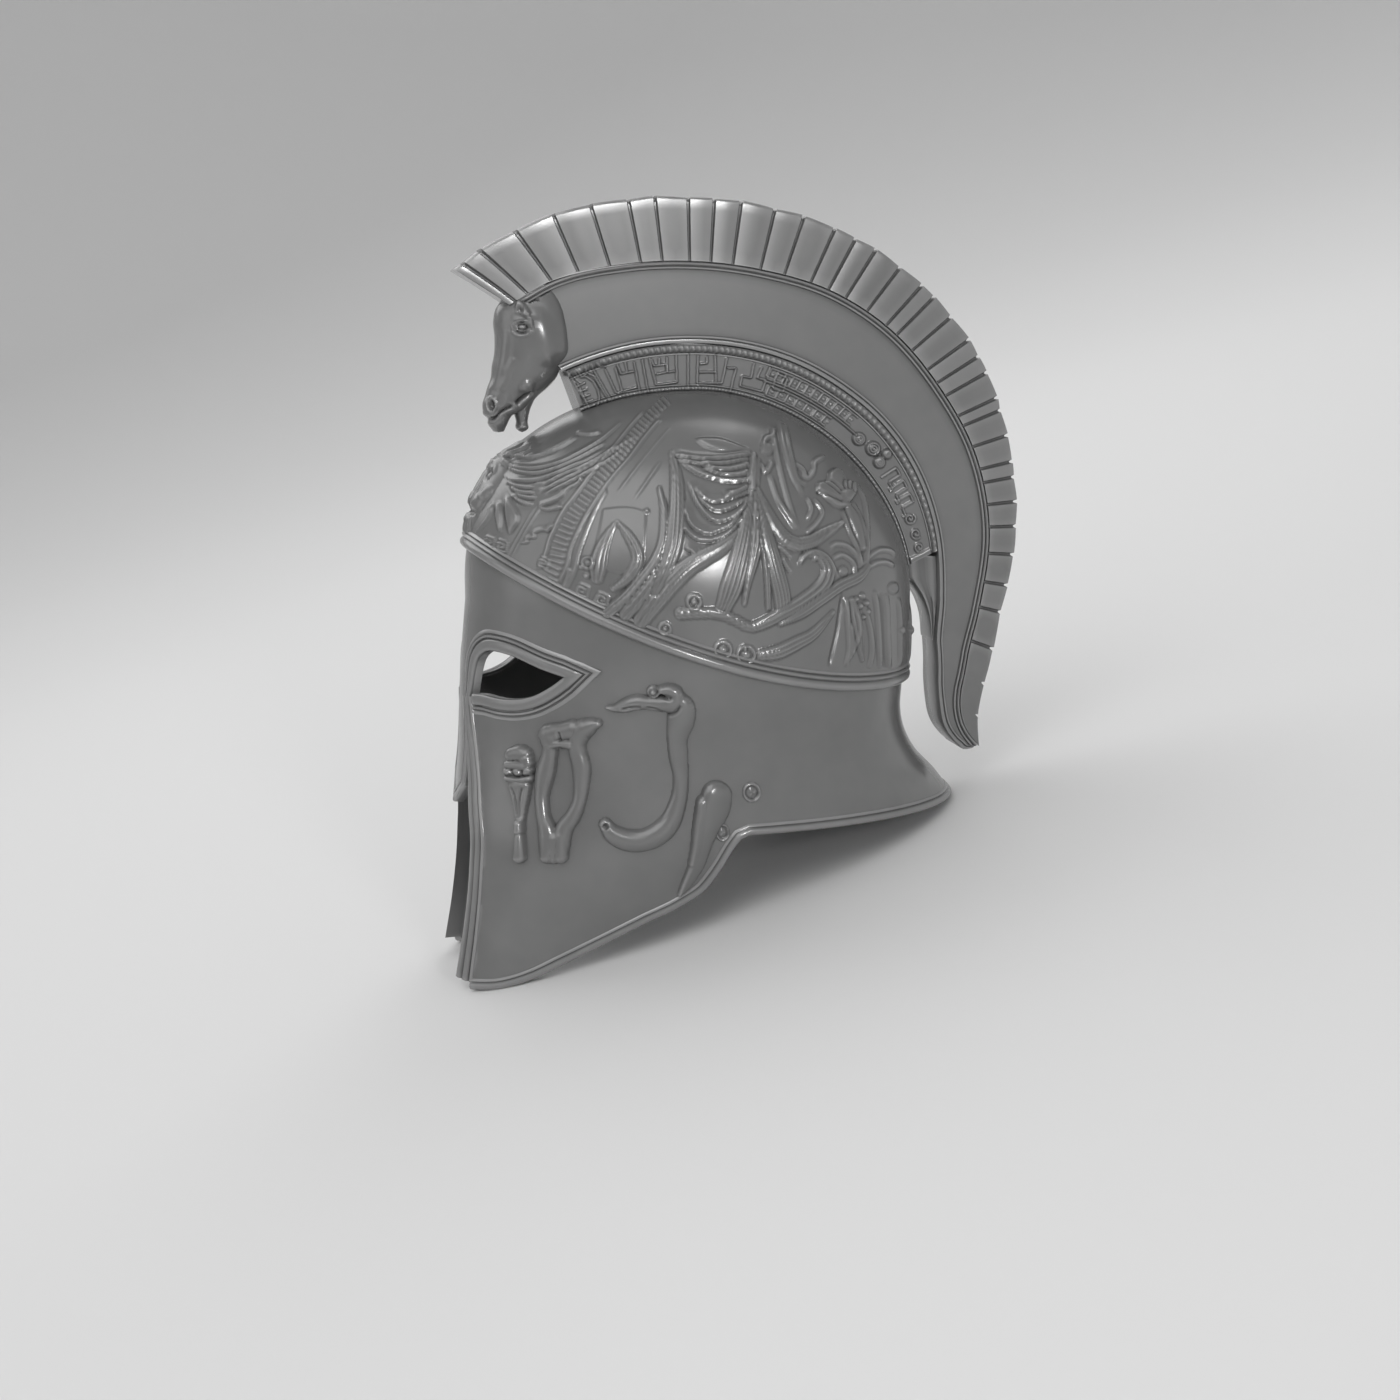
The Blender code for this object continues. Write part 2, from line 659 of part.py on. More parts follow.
def build_plume(collection):
    """The outer band: tiles with a groove between each two, which also notches the edge."""
    side = CREST_THICKNESS / 2
    half_groove = degrees(GROOVE_WIDTH / 2 / PLUME_RADIUS)
    rings = [plume_section(CREST_START, side, 0.0)]
    for groove in GROOVE_ANGLES:
        rings.append(plume_section(groove - half_groove, side, 0.0))
        rings.append(plume_section(groove, side - GROOVE_DEPTH, NOTCH_DEPTH))
        rings.append(plume_section(groove + half_groove, side, 0.0))
    rings += [plume_section(angle, side, 0.0) for angle in TAIL_ANGLES]
    return closed_loft("crest_plume", rings, collection)


def plume_section(angle, side, notch):
    """One closed section of the plume; the front end leans out to the crest's tip."""
    low = ridge_line(angle)
    high = plume_edge(angle) - notch
    lean = (CREST_TIP_ANGLE - CREST_START) * max(0.0, 1 - (angle - CREST_START) / 14)
    right = [crest_point(angle, low, side), crest_point(angle + lean, high, side)]
    left = [crest_point(angle + lean, high, -side), crest_point(angle, low, -side)]
    return right + left


def cap_radius(angle, side):
    """Distance from the crest's centre to the cap's outer face, in the plane at a distance to the side."""
    low, high = 0.3 * CREST_FOOT_RADIUS, 1.6 * CREST_FOOT_RADIUS
    for _ in range(40):
        middle = (low + high) / 2
        _, along, height = crest_point(angle, middle, side)
        rise = CAP_WALL + GAP
        scale = CROWN_RISE / (CROWN_RISE + rise)
        half = wall_side(along * scale, height * scale, rise) if height * scale < CROWN_RISE else None
        if half is not None and half > side:
            low = middle
        else:
            high = middle
    return high


def holder_section(foot_angle, top_angle, foot_radii, top_radius, half, border, rise):
    """One closed section of the holder: flat panels between a border at the foot and one at the top."""
    centre_foot, side_foot = foot_radii
    def between(share, side):
        low = np.array(crest_point(foot_angle, side_foot, side))
        high = np.array(crest_point(top_angle, top_radius, side))
        return tuple(low + (high - low) * share)
    span = top_radius - side_foot
    share = min(border / span, 0.3)
    edge = half + rise
    right = [between(0, edge), between(share, edge), between(share, half),
             between(1 - share, half), between(1 - share, edge), between(1, edge)]
    left = [(-x, y, z) for x, y, z in reversed(right)]
    return right + left + [crest_point(foot_angle, centre_foot, 0.0)]


def build_holder(collection):
    """The curved box on the crown, and the spur that follows the inside of the crest below it."""
    rings = []
    half = HOLDER_WIDTH / 2
    for i in range(HOLDER_STATIONS + 1):
        share = i / HOLDER_STATIONS
        foot_angle = HOLDER_FOOT_ENDS[0] + (HOLDER_FOOT_ENDS[1] - HOLDER_FOOT_ENDS[0]) * share
        top_angle = HOLDER_TOP_ENDS[0] + (HOLDER_TOP_ENDS[1] - HOLDER_TOP_ENDS[0]) * share
        feet = (cap_radius(foot_angle, 0.0) + GAP, cap_radius(foot_angle, half + HOLDER_BORDER_RISE) + GAP)
        rings.append(holder_section(foot_angle, top_angle, feet, foot_line(top_angle) - GAP,
                                    half, HOLDER_BORDER, HOLDER_BORDER_RISE))
    for angle, depth in SPUR_TABLE:
        top = foot_line(angle) - GAP
        foot = max(top - depth * SPUR_DEPTH, cap_radius(angle, 0.0) + GAP)
        rings.append(holder_section(angle, angle, (foot, foot), top, SPUR_WIDTH / 2, HOLDER_BORDER, 0.0))
    return closed_loft("crest_holder", rings, collection)


def surface_place(along, height, rise):
    """A point on the wall, lifted off it by rise, at a place in the side view."""
    side = wall_side(along, height, rise)
    return (side, along, height)


def stroke_rings(stroke):
    """Closed sections of a domed stroke that follows the wall."""
    path = [(y * BOWL_FRONT, -z * CHEEK_DROP, width * STROKE_UNIT) for y, z, width in stroke]
    rings = []
    for i, (y, z, width) in enumerate(path):
        before, after = path[max(i - 1, 0)], path[min(i + 1, len(path) - 1)]
        along = np.array([after[0] - before[0], after[1] - before[1]])
        along /= np.linalg.norm(along)
        across = (-along[1], along[0])
        places = [(y + across[0] * width * c, z + across[1] * width * c, c) for c in (-1, -0.55, 0, 0.55, 1)]
        under = [surface_place(a, b, FIGURE_SEAT) for a, b, c in places]
        top = [surface_place(a, b, FIGURE_SEAT + FIGURE_RISE * (0.35 + 0.65 * (1 - c * c) ** 0.5))
               for a, b, c in reversed(places)]
        rings.append(under + top)
    return rings


def build_figure(name, strokes, collection, cutters):
    """A cheek applique: its strokes joined into one solid."""
    figure = closed_loft(name, stroke_rings(strokes[0]), collection)
    for i, stroke in enumerate(strokes[1:]):
        limb = closed_loft(f"{name}_limb_{i}", stroke_rings(stroke), cutters)
        add_boolean(figure, as_cutter(limb), "UNION")
    return figure


def build_boss(name, place, size, collection):
    """A small domed round boss on the wall."""
    middle = (place[0] * BOWL_FRONT, -place[1] * CHEEK_DROP)
    rings = []
    for share, rise in ((1.0, 0.0), (1.0, 0.3), (0.8, 0.62), (0.4, 0.8)):
        ring = []
        for i in range(ROUND_SIDES):
            turn = 2 * pi * i / ROUND_SIDES
            ring.append(surface_place(middle[0] + share * size[0] * cos(turn), middle[1] + share * size[1] * sin(turn),
                                      FIGURE_SEAT + rise * FIGURE_RISE))
        rings.append(ring)
    return closed_loft(name, rings, collection)


def build_appliques(collection, cutters):
    """Each figure once on the wearer's left, and its mirror image on the right."""
    left = [build_figure("vase_figure_left", VASE_STROKES, collection, cutters),
            build_figure("lyre_figure_left", LYRE_STROKES, collection, cutters),
            build_figure("serpent_hook_left", HOOK_STROKES, collection, cutters),
            build_figure("horn_left", HORN_STROKES, collection, cutters),
            build_boss("oval_boss_left", OVAL_PLACE, OVAL_SIZE, collection),
            build_boss("rosette_left", ROSETTE_PLACE, ROSETTE_SIZE, collection)]
    return left + [mirror_copy(thing, collection) for thing in left]


def mirror_copy(thing, collection):
    """The wearer's right-hand copy of a left-hand piece."""
    evaluated = thing.evaluated_get(bpy.context.evaluated_depsgraph_get())
    bm = bmesh.new()
    bm.from_mesh(evaluated.to_mesh())
    bmesh.ops.scale(bm, vec=(-1, 1, 1), verts=bm.verts)
    bmesh.ops.reverse_faces(bm, faces=bm.faces)
    evaluated.to_mesh_clear()
    return new_mesh_object(thing.name.replace("_left", "_right"), bm, collection)


def rest_on_floor(pieces, cutters, collection):
    """Lean the helmet back onto its cheek guards and neck rim, centred over the origin and on the floor."""
    graph = bpy.context.evaluated_depsgraph_get()
    corners = {piece.name: evaluated_corners(piece, graph) for piece in pieces}
    shell = corners["shell"]
    front, rear = shell[shell[:, 1] < 0], shell[shell[:, 1] > 0]
    slope = 0.0
    for _ in range(12):
        low_front = front[np.argmin(front[:, 2] - slope * front[:, 1])]
        low_rear = rear[np.argmin(rear[:, 2] - slope * rear[:, 1])]
        slope = (low_rear[2] - low_front[2]) / (low_rear[1] - low_front[1])
    lean = -atan2(slope, 1.0)
    turned = np.vstack(list(corners.values()))
    along = turned[:, 1] * cos(lean) - turned[:, 2] * sin(lean)
    up = turned[:, 1] * sin(lean) + turned[:, 2] * cos(lean)
    stand = link(bpy.data.objects.new("rest", None), collection)
    stand.rotation_euler = (lean, 0, 0)
    stand.location = (0, -(along.min() + along.max()) / 2, -up.min())
    for thing in pieces + list(cutters.objects):
        thing.parent = stand


def evaluated_corners(piece, graph):
    """Vertices of a piece with its modifiers, in the upright frame."""
    evaluated = piece.evaluated_get(graph)
    mesh = evaluated.to_mesh()
    corners = np.array([piece.matrix_world @ vertex.co for vertex in mesh.vertices])
    evaluated.to_mesh_clear()
    return corners


def build_materials():
    """The one satin grey metal that every piece has."""
    metal = bpy.data.materials.new("satin_grey_metal")
    metal.use_nodes = True
    shader = metal.node_tree.nodes["Principled BSDF"]
    shader.inputs["Base Color"].default_value = GREY_METAL
    shader.inputs["Metallic"].default_value = 0.55
    shader.inputs["Roughness"].default_value = 0.42
    return metal


def main():
    clear_scene()
    helmet = bpy.data.collections.new("corinthian_helmet")
    cutters = bpy.data.collections.new("cutters")
    for collection in (helmet, cutters):
        bpy.context.scene.collection.children.link(collection)
    pieces = [build_shell(helmet, cutters), build_cap(helmet), build_crest(helmet, cutters),
              build_plume(helmet), build_holder(helmet), build_head(helmet, cutters)]
    pieces += build_appliques(helmet, cutters)
    metal = build_materials()
    for piece in pieces:
        piece.data.materials.append(metal)
    rest_on_floor(pieces, cutters, helmet)


main()
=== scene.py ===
"""Looks of the crested Corinthian helmet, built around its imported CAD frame.

Every surface is worked out in the helmet's own upright frame, as in the CAD: X to the wearer's left, Y to the
back, Z up, origin in the middle of the bowl at its widest level. in_row() then leans it back as it rests.
Relief that the photograph shows is drawn as strokes in the photograph's own 1400 x 1400 pixels and cast onto
the surface through the camera; the wearer's right half mirrors the left.
"""
from math import atan2, cos, degrees, pi, radians, sin

import bmesh
import bpy
import numpy as np
from mathutils import Matrix, Vector


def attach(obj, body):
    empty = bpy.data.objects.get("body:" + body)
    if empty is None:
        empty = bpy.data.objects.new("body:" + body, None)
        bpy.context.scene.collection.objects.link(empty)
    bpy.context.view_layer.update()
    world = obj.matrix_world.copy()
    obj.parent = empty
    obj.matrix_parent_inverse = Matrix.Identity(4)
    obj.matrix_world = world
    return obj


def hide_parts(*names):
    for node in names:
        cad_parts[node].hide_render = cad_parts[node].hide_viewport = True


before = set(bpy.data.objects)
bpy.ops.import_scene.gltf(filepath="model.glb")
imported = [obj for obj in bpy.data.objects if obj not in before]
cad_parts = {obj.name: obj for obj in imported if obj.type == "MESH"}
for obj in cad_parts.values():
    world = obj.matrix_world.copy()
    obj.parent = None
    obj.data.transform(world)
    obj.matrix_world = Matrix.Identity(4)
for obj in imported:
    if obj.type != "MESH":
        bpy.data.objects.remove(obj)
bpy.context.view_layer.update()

BODY = "root"
# Keeps a division away from zero
TINY = 1e-9

# How the helmet rests: its lean, and the place of its upright frame's origin
REST_LEAN = radians(-17.7806)
REST_PLACE = np.array([0.0, -0.004823, 0.144176])

# Camera: its angle to the upright helmet, and the point that it looks at
CAMERA_AZIMUTH = radians(12.0)
CAMERA_ELEVATION = radians(10.5)
CAMERA_DISTANCE = 1.0
CAMERA_TARGET = np.array([0.0, 0.005, -0.055])
LENS_MM = 50.0
SENSOR_MM = 36.0
PHOTO_SIZE = 1400

# Sheets and clearances, as in the CAD
GAP = 0.0003
SHELL_WALL = 0.0042
CAP_WALL = 0.0019

# Bowl, measured from its widest level, as in the CAD
BOWL_FRONT = 0.114
BOWL_BACK = 0.1105
BOWL_HALF_WIDTH = 0.088
CROWN_RISE = 0.1015
BROW_RISE = 0.008
NECK_DROP = 0.106
CHEEK_DROP = 0.188
CAP_RIM_FRONT = 0.029
CAP_RIM_BACK = -0.041
NASAL_HALF_WIDTH = 0.0182
NASAL_TIP_DROP = 0.102
EYE_DROP = 0.0435
EYE_HEIGHT = 0.0235
EYE_CORNER = 0.0665
CHEEK_EDGE = 0.0435
BACK_SQUARENESS = 2.05
DOME_FRONT_POWER = 2.2
DOME_BACK_POWER = 1.86
DOME_SIDE_POWER = 2.1

# level, front reach / BOWL_FRONT, back reach / BOWL_BACK, half width / BOWL_HALF_WIDTH, front squareness
WALL_ROWS_TABLE = (
    (0.00, 1.000, 1.000, 1.000, 2.00),
    (0.24, 1.022, 1.000, 1.006, 1.92),
    (0.44, 1.035, 0.989, 0.985, 1.90),
    (0.55, 1.038, 0.986, 0.963, 1.94),
    (0.66, 1.042, 1.009, 0.943, 2.02),
    (0.78, 1.050, 1.072, 0.930, 2.16),
    (0.90, 1.062, 1.181, 0.925, 2.34),
    (1.00, 1.068, 1.249, 0.925, 2.48),
    (1.15, 1.070, 1.300, 0.917, 2.62),
    (1.35, 1.074, 1.300, 0.896, 2.70),
    (1.66, 1.104, 1.300, 0.841, 2.70),
    (2.00, 1.160, 1.300, 0.773, 2.70),
)

# Lower edge of a cheek guard: place / BOWL_FRONT along Y, drop below the neck rim / (CHEEK_DROP - NECK_DROP)
CHEEK_EDGE_TABLE = (
    (-1.043, 0.995), (-0.925, 0.960), (-0.798, 0.885), (-0.675, 0.784), (-0.506, 0.651), (-0.337, 0.524),
    (-0.167, 0.406), (-0.081, 0.321), (-0.014, 0.195), (0.037, 0.076), (0.081, 0.000),
)
NOTCH_PLACE = CHEEK_EDGE_TABLE[-1][0] * BOWL_FRONT

# Crest, as in the CAD
CREST_CENTRE = 0.030
HOLDER_HEIGHT = 0.0213
CREST_HEIGHT = 0.0393
PLUME_HEIGHT = 0.0308
CREST_THICKNESS = 0.0252
HOLDER_WIDTH = 0.027
SPUR_WIDTH = 0.019
FOOT_RADIUS = CROWN_RISE - CREST_CENTRE + CAP_WALL + 2 * GAP + HOLDER_HEIGHT
RIDGE_RADIUS = FOOT_RADIUS + CREST_HEIGHT
PLUME_RADIUS = RIDGE_RADIUS + PLUME_HEIGHT

# angle in degrees from straight up towards the back, plume edge / PLUME_RADIUS, ridge line / RIDGE_RADIUS,
# foot line / FOOT_RADIUS
CREST_TABLE = (
    (-42, 1.066, 1.090, 1.120), (-38, 1.057, 1.078, 1.098), (-30, 1.045, 1.066, 1.062),
    (-15, 1.017, 1.022, 1.018), (0, 1.000, 1.000, 1.000), (15, 1.002, 1.004, 1.010),
    (30, 1.016, 1.034, 1.042), (45, 1.031, 1.062, 1.092), (60, 1.041, 1.086, 1.166),
    (75, 1.032, 1.126, 1.243), (90, 1.027, 1.151, 1.318), (105, 1.018, 1.157, 1.398),
    (115, 1.045, 1.184, 1.480), (121, 1.082, 1.236, 1.590), (125, 1.122, 1.300, 1.690),
    (127.4, 1.152, 1.400, 1.800),
)
CREST_START = -38.7
CREST_TIP_ANGLE = -42.0
GROOVE_ANGLES = (
    -34.7, -29.5, -24.0, -17.7, -11.4, -6.9, -1.2, 3.3, 8.0, 14.0, 19.2, 25.0, 29.0, 33.0, 38.2, 43.1, 46.0,
    50.5, 55.5, 58.8, 61.9, 66.6, 68.8, 73.3, 77.9, 80.6, 84.9, 89.2, 94.2, 99.7, 104.6, 111.2,
)
HOLDER_FOOT_ENDS = (-42.3, 98.5)
HOLDER_TOP_ENDS = (-38.0, 94.0)
SPUR_DEPTH = 0.017
SPUR_TABLE = (
    (99.2, 1.00), (101.0, 0.94), (103.0, 0.76), (105.0, 0.54), (107.5, 0.33), (110.5, 0.16), (114.0, 0.07),
)


# The helmet's surface

# Step for the wall's normals, smallest reach that they are worked out for, and how far below the crown they
# are taken at the most
NORMAL_STEP = 2e-5
LEAST_REACH = 1e-6
CROWN_MARGIN = 0.0008


def smooth_read(rows, column, place):
    """Read a column of a table between its rows, along a smooth curve through them."""
    table = np.array(rows, float)
    at, value = table[:, 0], table[:, column]
    slope = np.gradient(value, at)
    place = np.clip(place, at[0], at[-1])
    left = np.clip(np.searchsorted(at, place, side="right") - 1, 0, len(at) - 2)
    span = at[left + 1] - at[left]
    t = (place - at[left]) / span
    start = (2 * t**3 - 3 * t**2 + 1) * value[left] + (t**3 - 2 * t**2 + t) * span * slope[left]
    end = (3 * t**2 - 2 * t**3) * value[left + 1] + (t**3 - t**2) * span * slope[left + 1]
    return start + end


def dome_share(height, base, power):
    t = np.clip((height - base) / (CROWN_RISE - base), 0.0, 1.0)
    return (1 - t**power) ** (1 / power)


def wall_section(height):
    """Front reach, back reach, half width and front squareness of the outer wall at each height."""
    height = np.minimum(np.asarray(height, float), CROWN_RISE)
    below = (-height - NECK_DROP) / (CHEEK_DROP - NECK_DROP)
    level = np.where(height > -NECK_DROP, -height / NECK_DROP, 1 + below)
    front, back, width, square = (smooth_read(WALL_ROWS_TABLE, column, level) for column in (1, 2, 3, 4))
    up = height > 0
    return (BOWL_FRONT * np.where(up, dome_share(height, BROW_RISE, DOME_FRONT_POWER), front),
            BOWL_BACK * np.where(up, dome_share(height, 0.0, DOME_BACK_POWER), back),
            BOWL_HALF_WIDTH * np.where(up, dome_share(height, 0.0, DOME_SIDE_POWER), width),
            np.where(up, 2.0, square))


def wall_half(ahead, height):
    """Reach, half width and squareness of the wall's front half where ahead, else of its back half."""
    front, back, width, square = wall_section(height)
    return np.where(ahead, front, back), width, np.where(ahead, square, BACK_SQUARENESS)


def bend(wave, power):
    """A sine or cosine bent to a superellipse of so much squareness."""
    return np.sign(wave) * np.abs(wave) ** (2 / power)


def wall_points(turn, height):
    """Points of the outer wall; turn 0 is the front mid-plane, pi the back, and below 0 the right half."""
    reach, width, power = wall_half(np.cos(turn) > 0, height)
    side = width * bend(np.sin(turn), power)
    along = -reach * bend(np.cos(turn), power)
    return np.stack(np.broadcast_arrays(side, along, height), -1)


def wall_side(along, height):
    """Half width of the outer wall at places along Y."""
    reach, width, power = wall_half(along < 0, height)
    share = np.clip(np.abs(along) / np.maximum(reach, TINY), 0, 1)
    return width * (1 - share**power) ** (1 / power)


def wall_front(side, height):
    """Y of the front of the outer wall at a distance to the side."""
    front, _, width, square = wall_section(height)
    share = np.clip(np.abs(side) / np.maximum(width, TINY), 0, 1)
    return -front * (1 - share**square) ** (1 / square)


def wall_level(points):
    """How far out a point lies in its level section: 1 on the wall."""
    reach, width, power = wall_half(points[..., 1] < 0, points[..., 2])
    reach, width = np.maximum(reach, LEAST_REACH), np.maximum(width, LEAST_REACH)
    return (np.abs(points[..., 0]) / width) ** power + (np.abs(points[..., 1]) / reach) ** power


def unit(vectors):
    """Vectors brought to a length of 1."""
    return vectors / np.maximum(np.linalg.norm(vectors, axis=-1, keepdims=True), TINY)


def wall_normals(points):
    """Outward unit normals of the wall."""
    points = points.copy()
    points[..., 2] = np.minimum(points[..., 2], CROWN_RISE - CROWN_MARGIN)
    steps = np.eye(3) * NORMAL_STEP
    return unit(np.stack([wall_level(points + step) - wall_level(points - step) for step in steps], -1))


def cap_rim_height(along):
    share = np.clip((along + BOWL_FRONT) / (BOWL_FRONT + BOWL_BACK), 0, 1)
    return CAP_RIM_BACK + (CAP_RIM_FRONT - CAP_RIM_BACK) * (1 - share) ** 2


def lower_edge_height(along):
    drop = np.maximum(smooth_read(CHEEK_EDGE_TABLE, 1, along / BOWL_FRONT), 0) * (CHEEK_DROP - NECK_DROP)
    return np.where(along >= NOTCH_PLACE, -NECK_DROP, -NECK_DROP - drop)


# The photograph's view of it

TOWARDS_CAMERA = np.array([cos(CAMERA_ELEVATION) * cos(CAMERA_AZIMUTH),
                           -cos(CAMERA_ELEVATION) * sin(CAMERA_AZIMUTH), sin(CAMERA_ELEVATION)])
CAMERA_PLACE = CAMERA_TARGET + CAMERA_DISTANCE * TOWARDS_CAMERA
PICTURE_RIGHT = np.array([sin(CAMERA_AZIMUTH), cos(CAMERA_AZIMUTH), 0.0])
PICTURE_UP = np.cross(PICTURE_RIGHT, -TOWARDS_CAMERA)
FOCAL_PIXELS = LENS_MM / SENSOR_MM * PHOTO_SIZE


def in_photo(points):
    """Pixel of the photograph at which points of the upright helmet show."""
    ray = points - CAMERA_TARGET - CAMERA_DISTANCE * TOWARDS_CAMERA
    depth = ray @ -TOWARDS_CAMERA
    return np.stack([PHOTO_SIZE / 2 + FOCAL_PIXELS * (ray @ PICTURE_RIGHT) / depth,
                     PHOTO_SIZE / 2 - FOCAL_PIXELS * (ray @ PICTURE_UP) / depth], -1)


def in_row(points):
    """Upright helmet points in the row frame, where the helmet leans back as it rests."""
    points = np.asarray(points, float)
    y, z = points[..., 1], points[..., 2]
    turned = np.stack([points[..., 0], y * cos(REST_LEAN) - z * sin(REST_LEAN),
                       y * sin(REST_LEAN) + z * cos(REST_LEAN)], -1)
    return turned + REST_PLACE


# Meshes

# Points closer than this are one point, and points this close to the mid-plane lie on it
MERGE_DISTANCE = 1e-6


def make_object(name, points, faces, smooth_angle):
    mesh = bpy.data.meshes.new(name)
    mesh.from_pydata(in_row(np.asarray(points)).tolist(), [], faces)
    mesh.validate()
    piece = bpy.data.objects.new(name, mesh)
    bpy.context.scene.collection.objects.link(piece)
    finish_mesh(piece, smooth_angle)
    return piece


def finish_mesh(piece, smooth_angle):
    """Face outwards and shade smooth up to sharp edges."""
    bm = bmesh.new()
    bm.from_mesh(piece.data)
    bmesh.ops.remove_doubles(bm, verts=bm.verts, dist=MERGE_DISTANCE)
    bmesh.ops.recalc_face_normals(bm, faces=bm.faces)
    bm.to_mesh(piece.data)
    bm.free()
    piece.data.shade_smooth()
    piece.data.set_sharp_from_angle(angle=radians(smooth_angle))


class Builder:
    """Collects points and faces of one piece from grids."""

    def __init__(self):
        self.points, self.faces, self.count = [], [], 0

    def grid(self, block, close_columns=False):
        """Quads over a block of points; closed columns join the last one to the first."""
        rows, columns = block.shape[:2]
        self.points.append(block.reshape(-1, 3))
        index = self.count + np.arange(rows * columns).reshape(rows, columns)
        if close_columns:
            index = np.hstack([index, index[:, :1]])
        quads = np.stack([index[:-1, :-1], index[:-1, 1:], index[1:, 1:], index[1:, :-1]], -1).reshape(-1, 4)
        self.faces += quads.tolist()
        self.count += rows * columns
        return index

    def tube(self, block):
        """A grid with closed columns and a flat lid on its first and last row."""
        index = self.grid(block, close_columns=True)
        self.faces += [index[0, :-1].tolist(), index[-1, :-1].tolist()]

    def fan(self, ring, tip):
        """Triangles from a ring of indices to one new point."""
        self.points.append(np.asarray(tip, float).reshape(1, 3))
        self.faces += [[int(a), int(b), self.count] for a, b in zip(ring, np.roll(ring, -1))]
        self.count += 1

    def mirror(self):
        """Add the wearer's right half as the mirror image of what is there."""
        points = np.vstack(self.points)
        faces = [[i + self.count for i in reversed(face)] for face in self.faces]
        self.points = [points, points * (-1, 1, 1)]
        self.faces += faces
        self.count *= 2

    def done(self, name, smooth_angle=40.0):
        return make_object(name, np.vstack(self.points), self.faces, smooth_angle)


def mirrored_tube(name, left_side, smooth_angle):
    """A piece from the points of its left side: joined to its mirror image and closed at both ends."""
    builder = Builder()
    builder.tube(np.concatenate([left_side, left_side[:, ::-1] * (-1, 1, 1)], axis=1))
    return builder.done(name, smooth_angle)


def vertex_vectors(mesh, name):
    """One vector property of all of a mesh's points."""
    values = np.empty(len(mesh.vertices) * 3)
    mesh.vertices.foreach_get(name, values)
    return values.reshape(-1, 3)


# Curves and relief

# Steps of a curve between two of its points, before it is cut into even steps
CURVE_STEPS = 12


def spline(points, spacing):
    """A smooth curve through points, with even steps of about spacing."""
    p = np.asarray(points, float)
    if len(p) > 2:
        ends = np.vstack([2 * p[0] - p[1], p, 2 * p[-1] - p[-2]])
        t = np.linspace(0, 1, CURVE_STEPS, endpoint=False)[:, None]
        runs = []
        for a, b, c, d in zip(ends, ends[1:], ends[2:], ends[3:]):
            bend_in, bend_out = 2 * a - 5 * b + 4 * c - d, 3 * b - a - 3 * c + d
            runs.append(0.5 * (2 * b + (c - a) * t + bend_in * t**2 + bend_out * t**3))
        p = np.vstack(runs + [p[-1:]])
    walked = np.concatenate([[0], np.cumsum(np.linalg.norm(np.diff(p, axis=0), axis=1))])
    count = max(int(round(walked[-1] / spacing)), 1) + 1
    at = np.linspace(0, walked[-1], count)
    return np.stack([np.interp(at, walked, p[:, k]) for k in range(p.shape[1])], -1)


def line_distance(places, line):
    """Distance of each place to a polyline, its share along it, and on which side it lies, from -1 to 1."""
    best, along, side = np.full(len(places), np.inf), np.zeros(len(places)), np.zeros(len(places))
    steps = np.diff(line, axis=0)
    lengths = np.maximum(np.linalg.norm(steps, axis=1), TINY)
    walked = np.concatenate([[0], np.cumsum(lengths)])
    for start, step, length, before in zip(line, steps, lengths, walked):
        rel = places - start
        t = np.clip(rel @ step / length**2, 0, 1)
        off = rel - t[:, None] * step
        distance = np.hypot(off[:, 0], off[:, 1])
        near = distance < best
        best = np.where(near, distance, best)
        along = np.where(near, (before + t * length) / walked[-1], along)
        cross = (step[0] * off[:, 1] - step[1] * off[:, 0]) / length
        side = np.where(near, cross / np.maximum(distance, TINY), side)
    return best, along, side


def strokes(text):
    """Lines given as text: one to a row, its points as x,y."""
    return [np.array([[float(n) for n in pair.split(",")] for pair in row.split()])
            for row in text.splitlines() if row]


def oval(centre, long, short, tilt=0.0, sides=16):
    """Outline of an ellipse; tilt in degrees, clockwise in the picture."""
    turn = np.linspace(0, 2 * pi, sides, endpoint=False)
    across, along = long * np.cos(turn), short * np.sin(turn)
    c, s = cos(radians(tilt)), sin(radians(tilt))
    return np.stack([centre[0] + across * c - along * s, centre[1] + across * s + along * c], -1)


KEY_WINDING = ((0, 0), (1, 0), (1, 1), (0.02, 1), (0, 0.32), (0.66, 0.32), (0.66, 0.68), (0.34, 0.68))


def key_line(corner, right, down):
    """A square key that winds in from its corner; right and down are its sides as vectors."""
    return np.array([np.add(corner, np.multiply(a, right) + np.multiply(b, down)) for a, b in KEY_WINDING])


def inside(places, outline):
    """Whether each place lies in a closed outline."""
    found = np.zeros(len(places), bool)
    x, y = places[:, 0], places[:, 1]
    for (x0, y0), (x1, y1) in zip(outline, np.roll(outline, -1, axis=0)):
        if y0 != y1:
            cross = (y0 > y) != (y1 > y)
            found ^= cross & (x < (x1 - x0) * (y - y0) / (y1 - y0) + x0)
    return found


# Step along a stroke, and distance from a fold's edge to the dark line cut beside it, in pixels
STROKE_STEP = 2.0
FOLD_CUT = 1.6
# How deep the dark line beside a fold and the lines between strands are, as shares of the rise
FOLD_CUT_SHARE = 0.45
STRAND_CUT_SHARE = 0.45
# How far past its own half width a limb and a band of strands are worked out, in pixels
LIMB_MARGIN = 6
STRAND_MARGIN = 2
# Share of its radius that a scroll winds in over
SCROLL_REACH = 0.82
# Shares of the relief below that a ridge and a band of strands keep, and of a band's own rise beside them
RIDGE_KEEPS = 0.55
STRANDS_KEEP = 0.35
STRANDS_ADD = 0.6
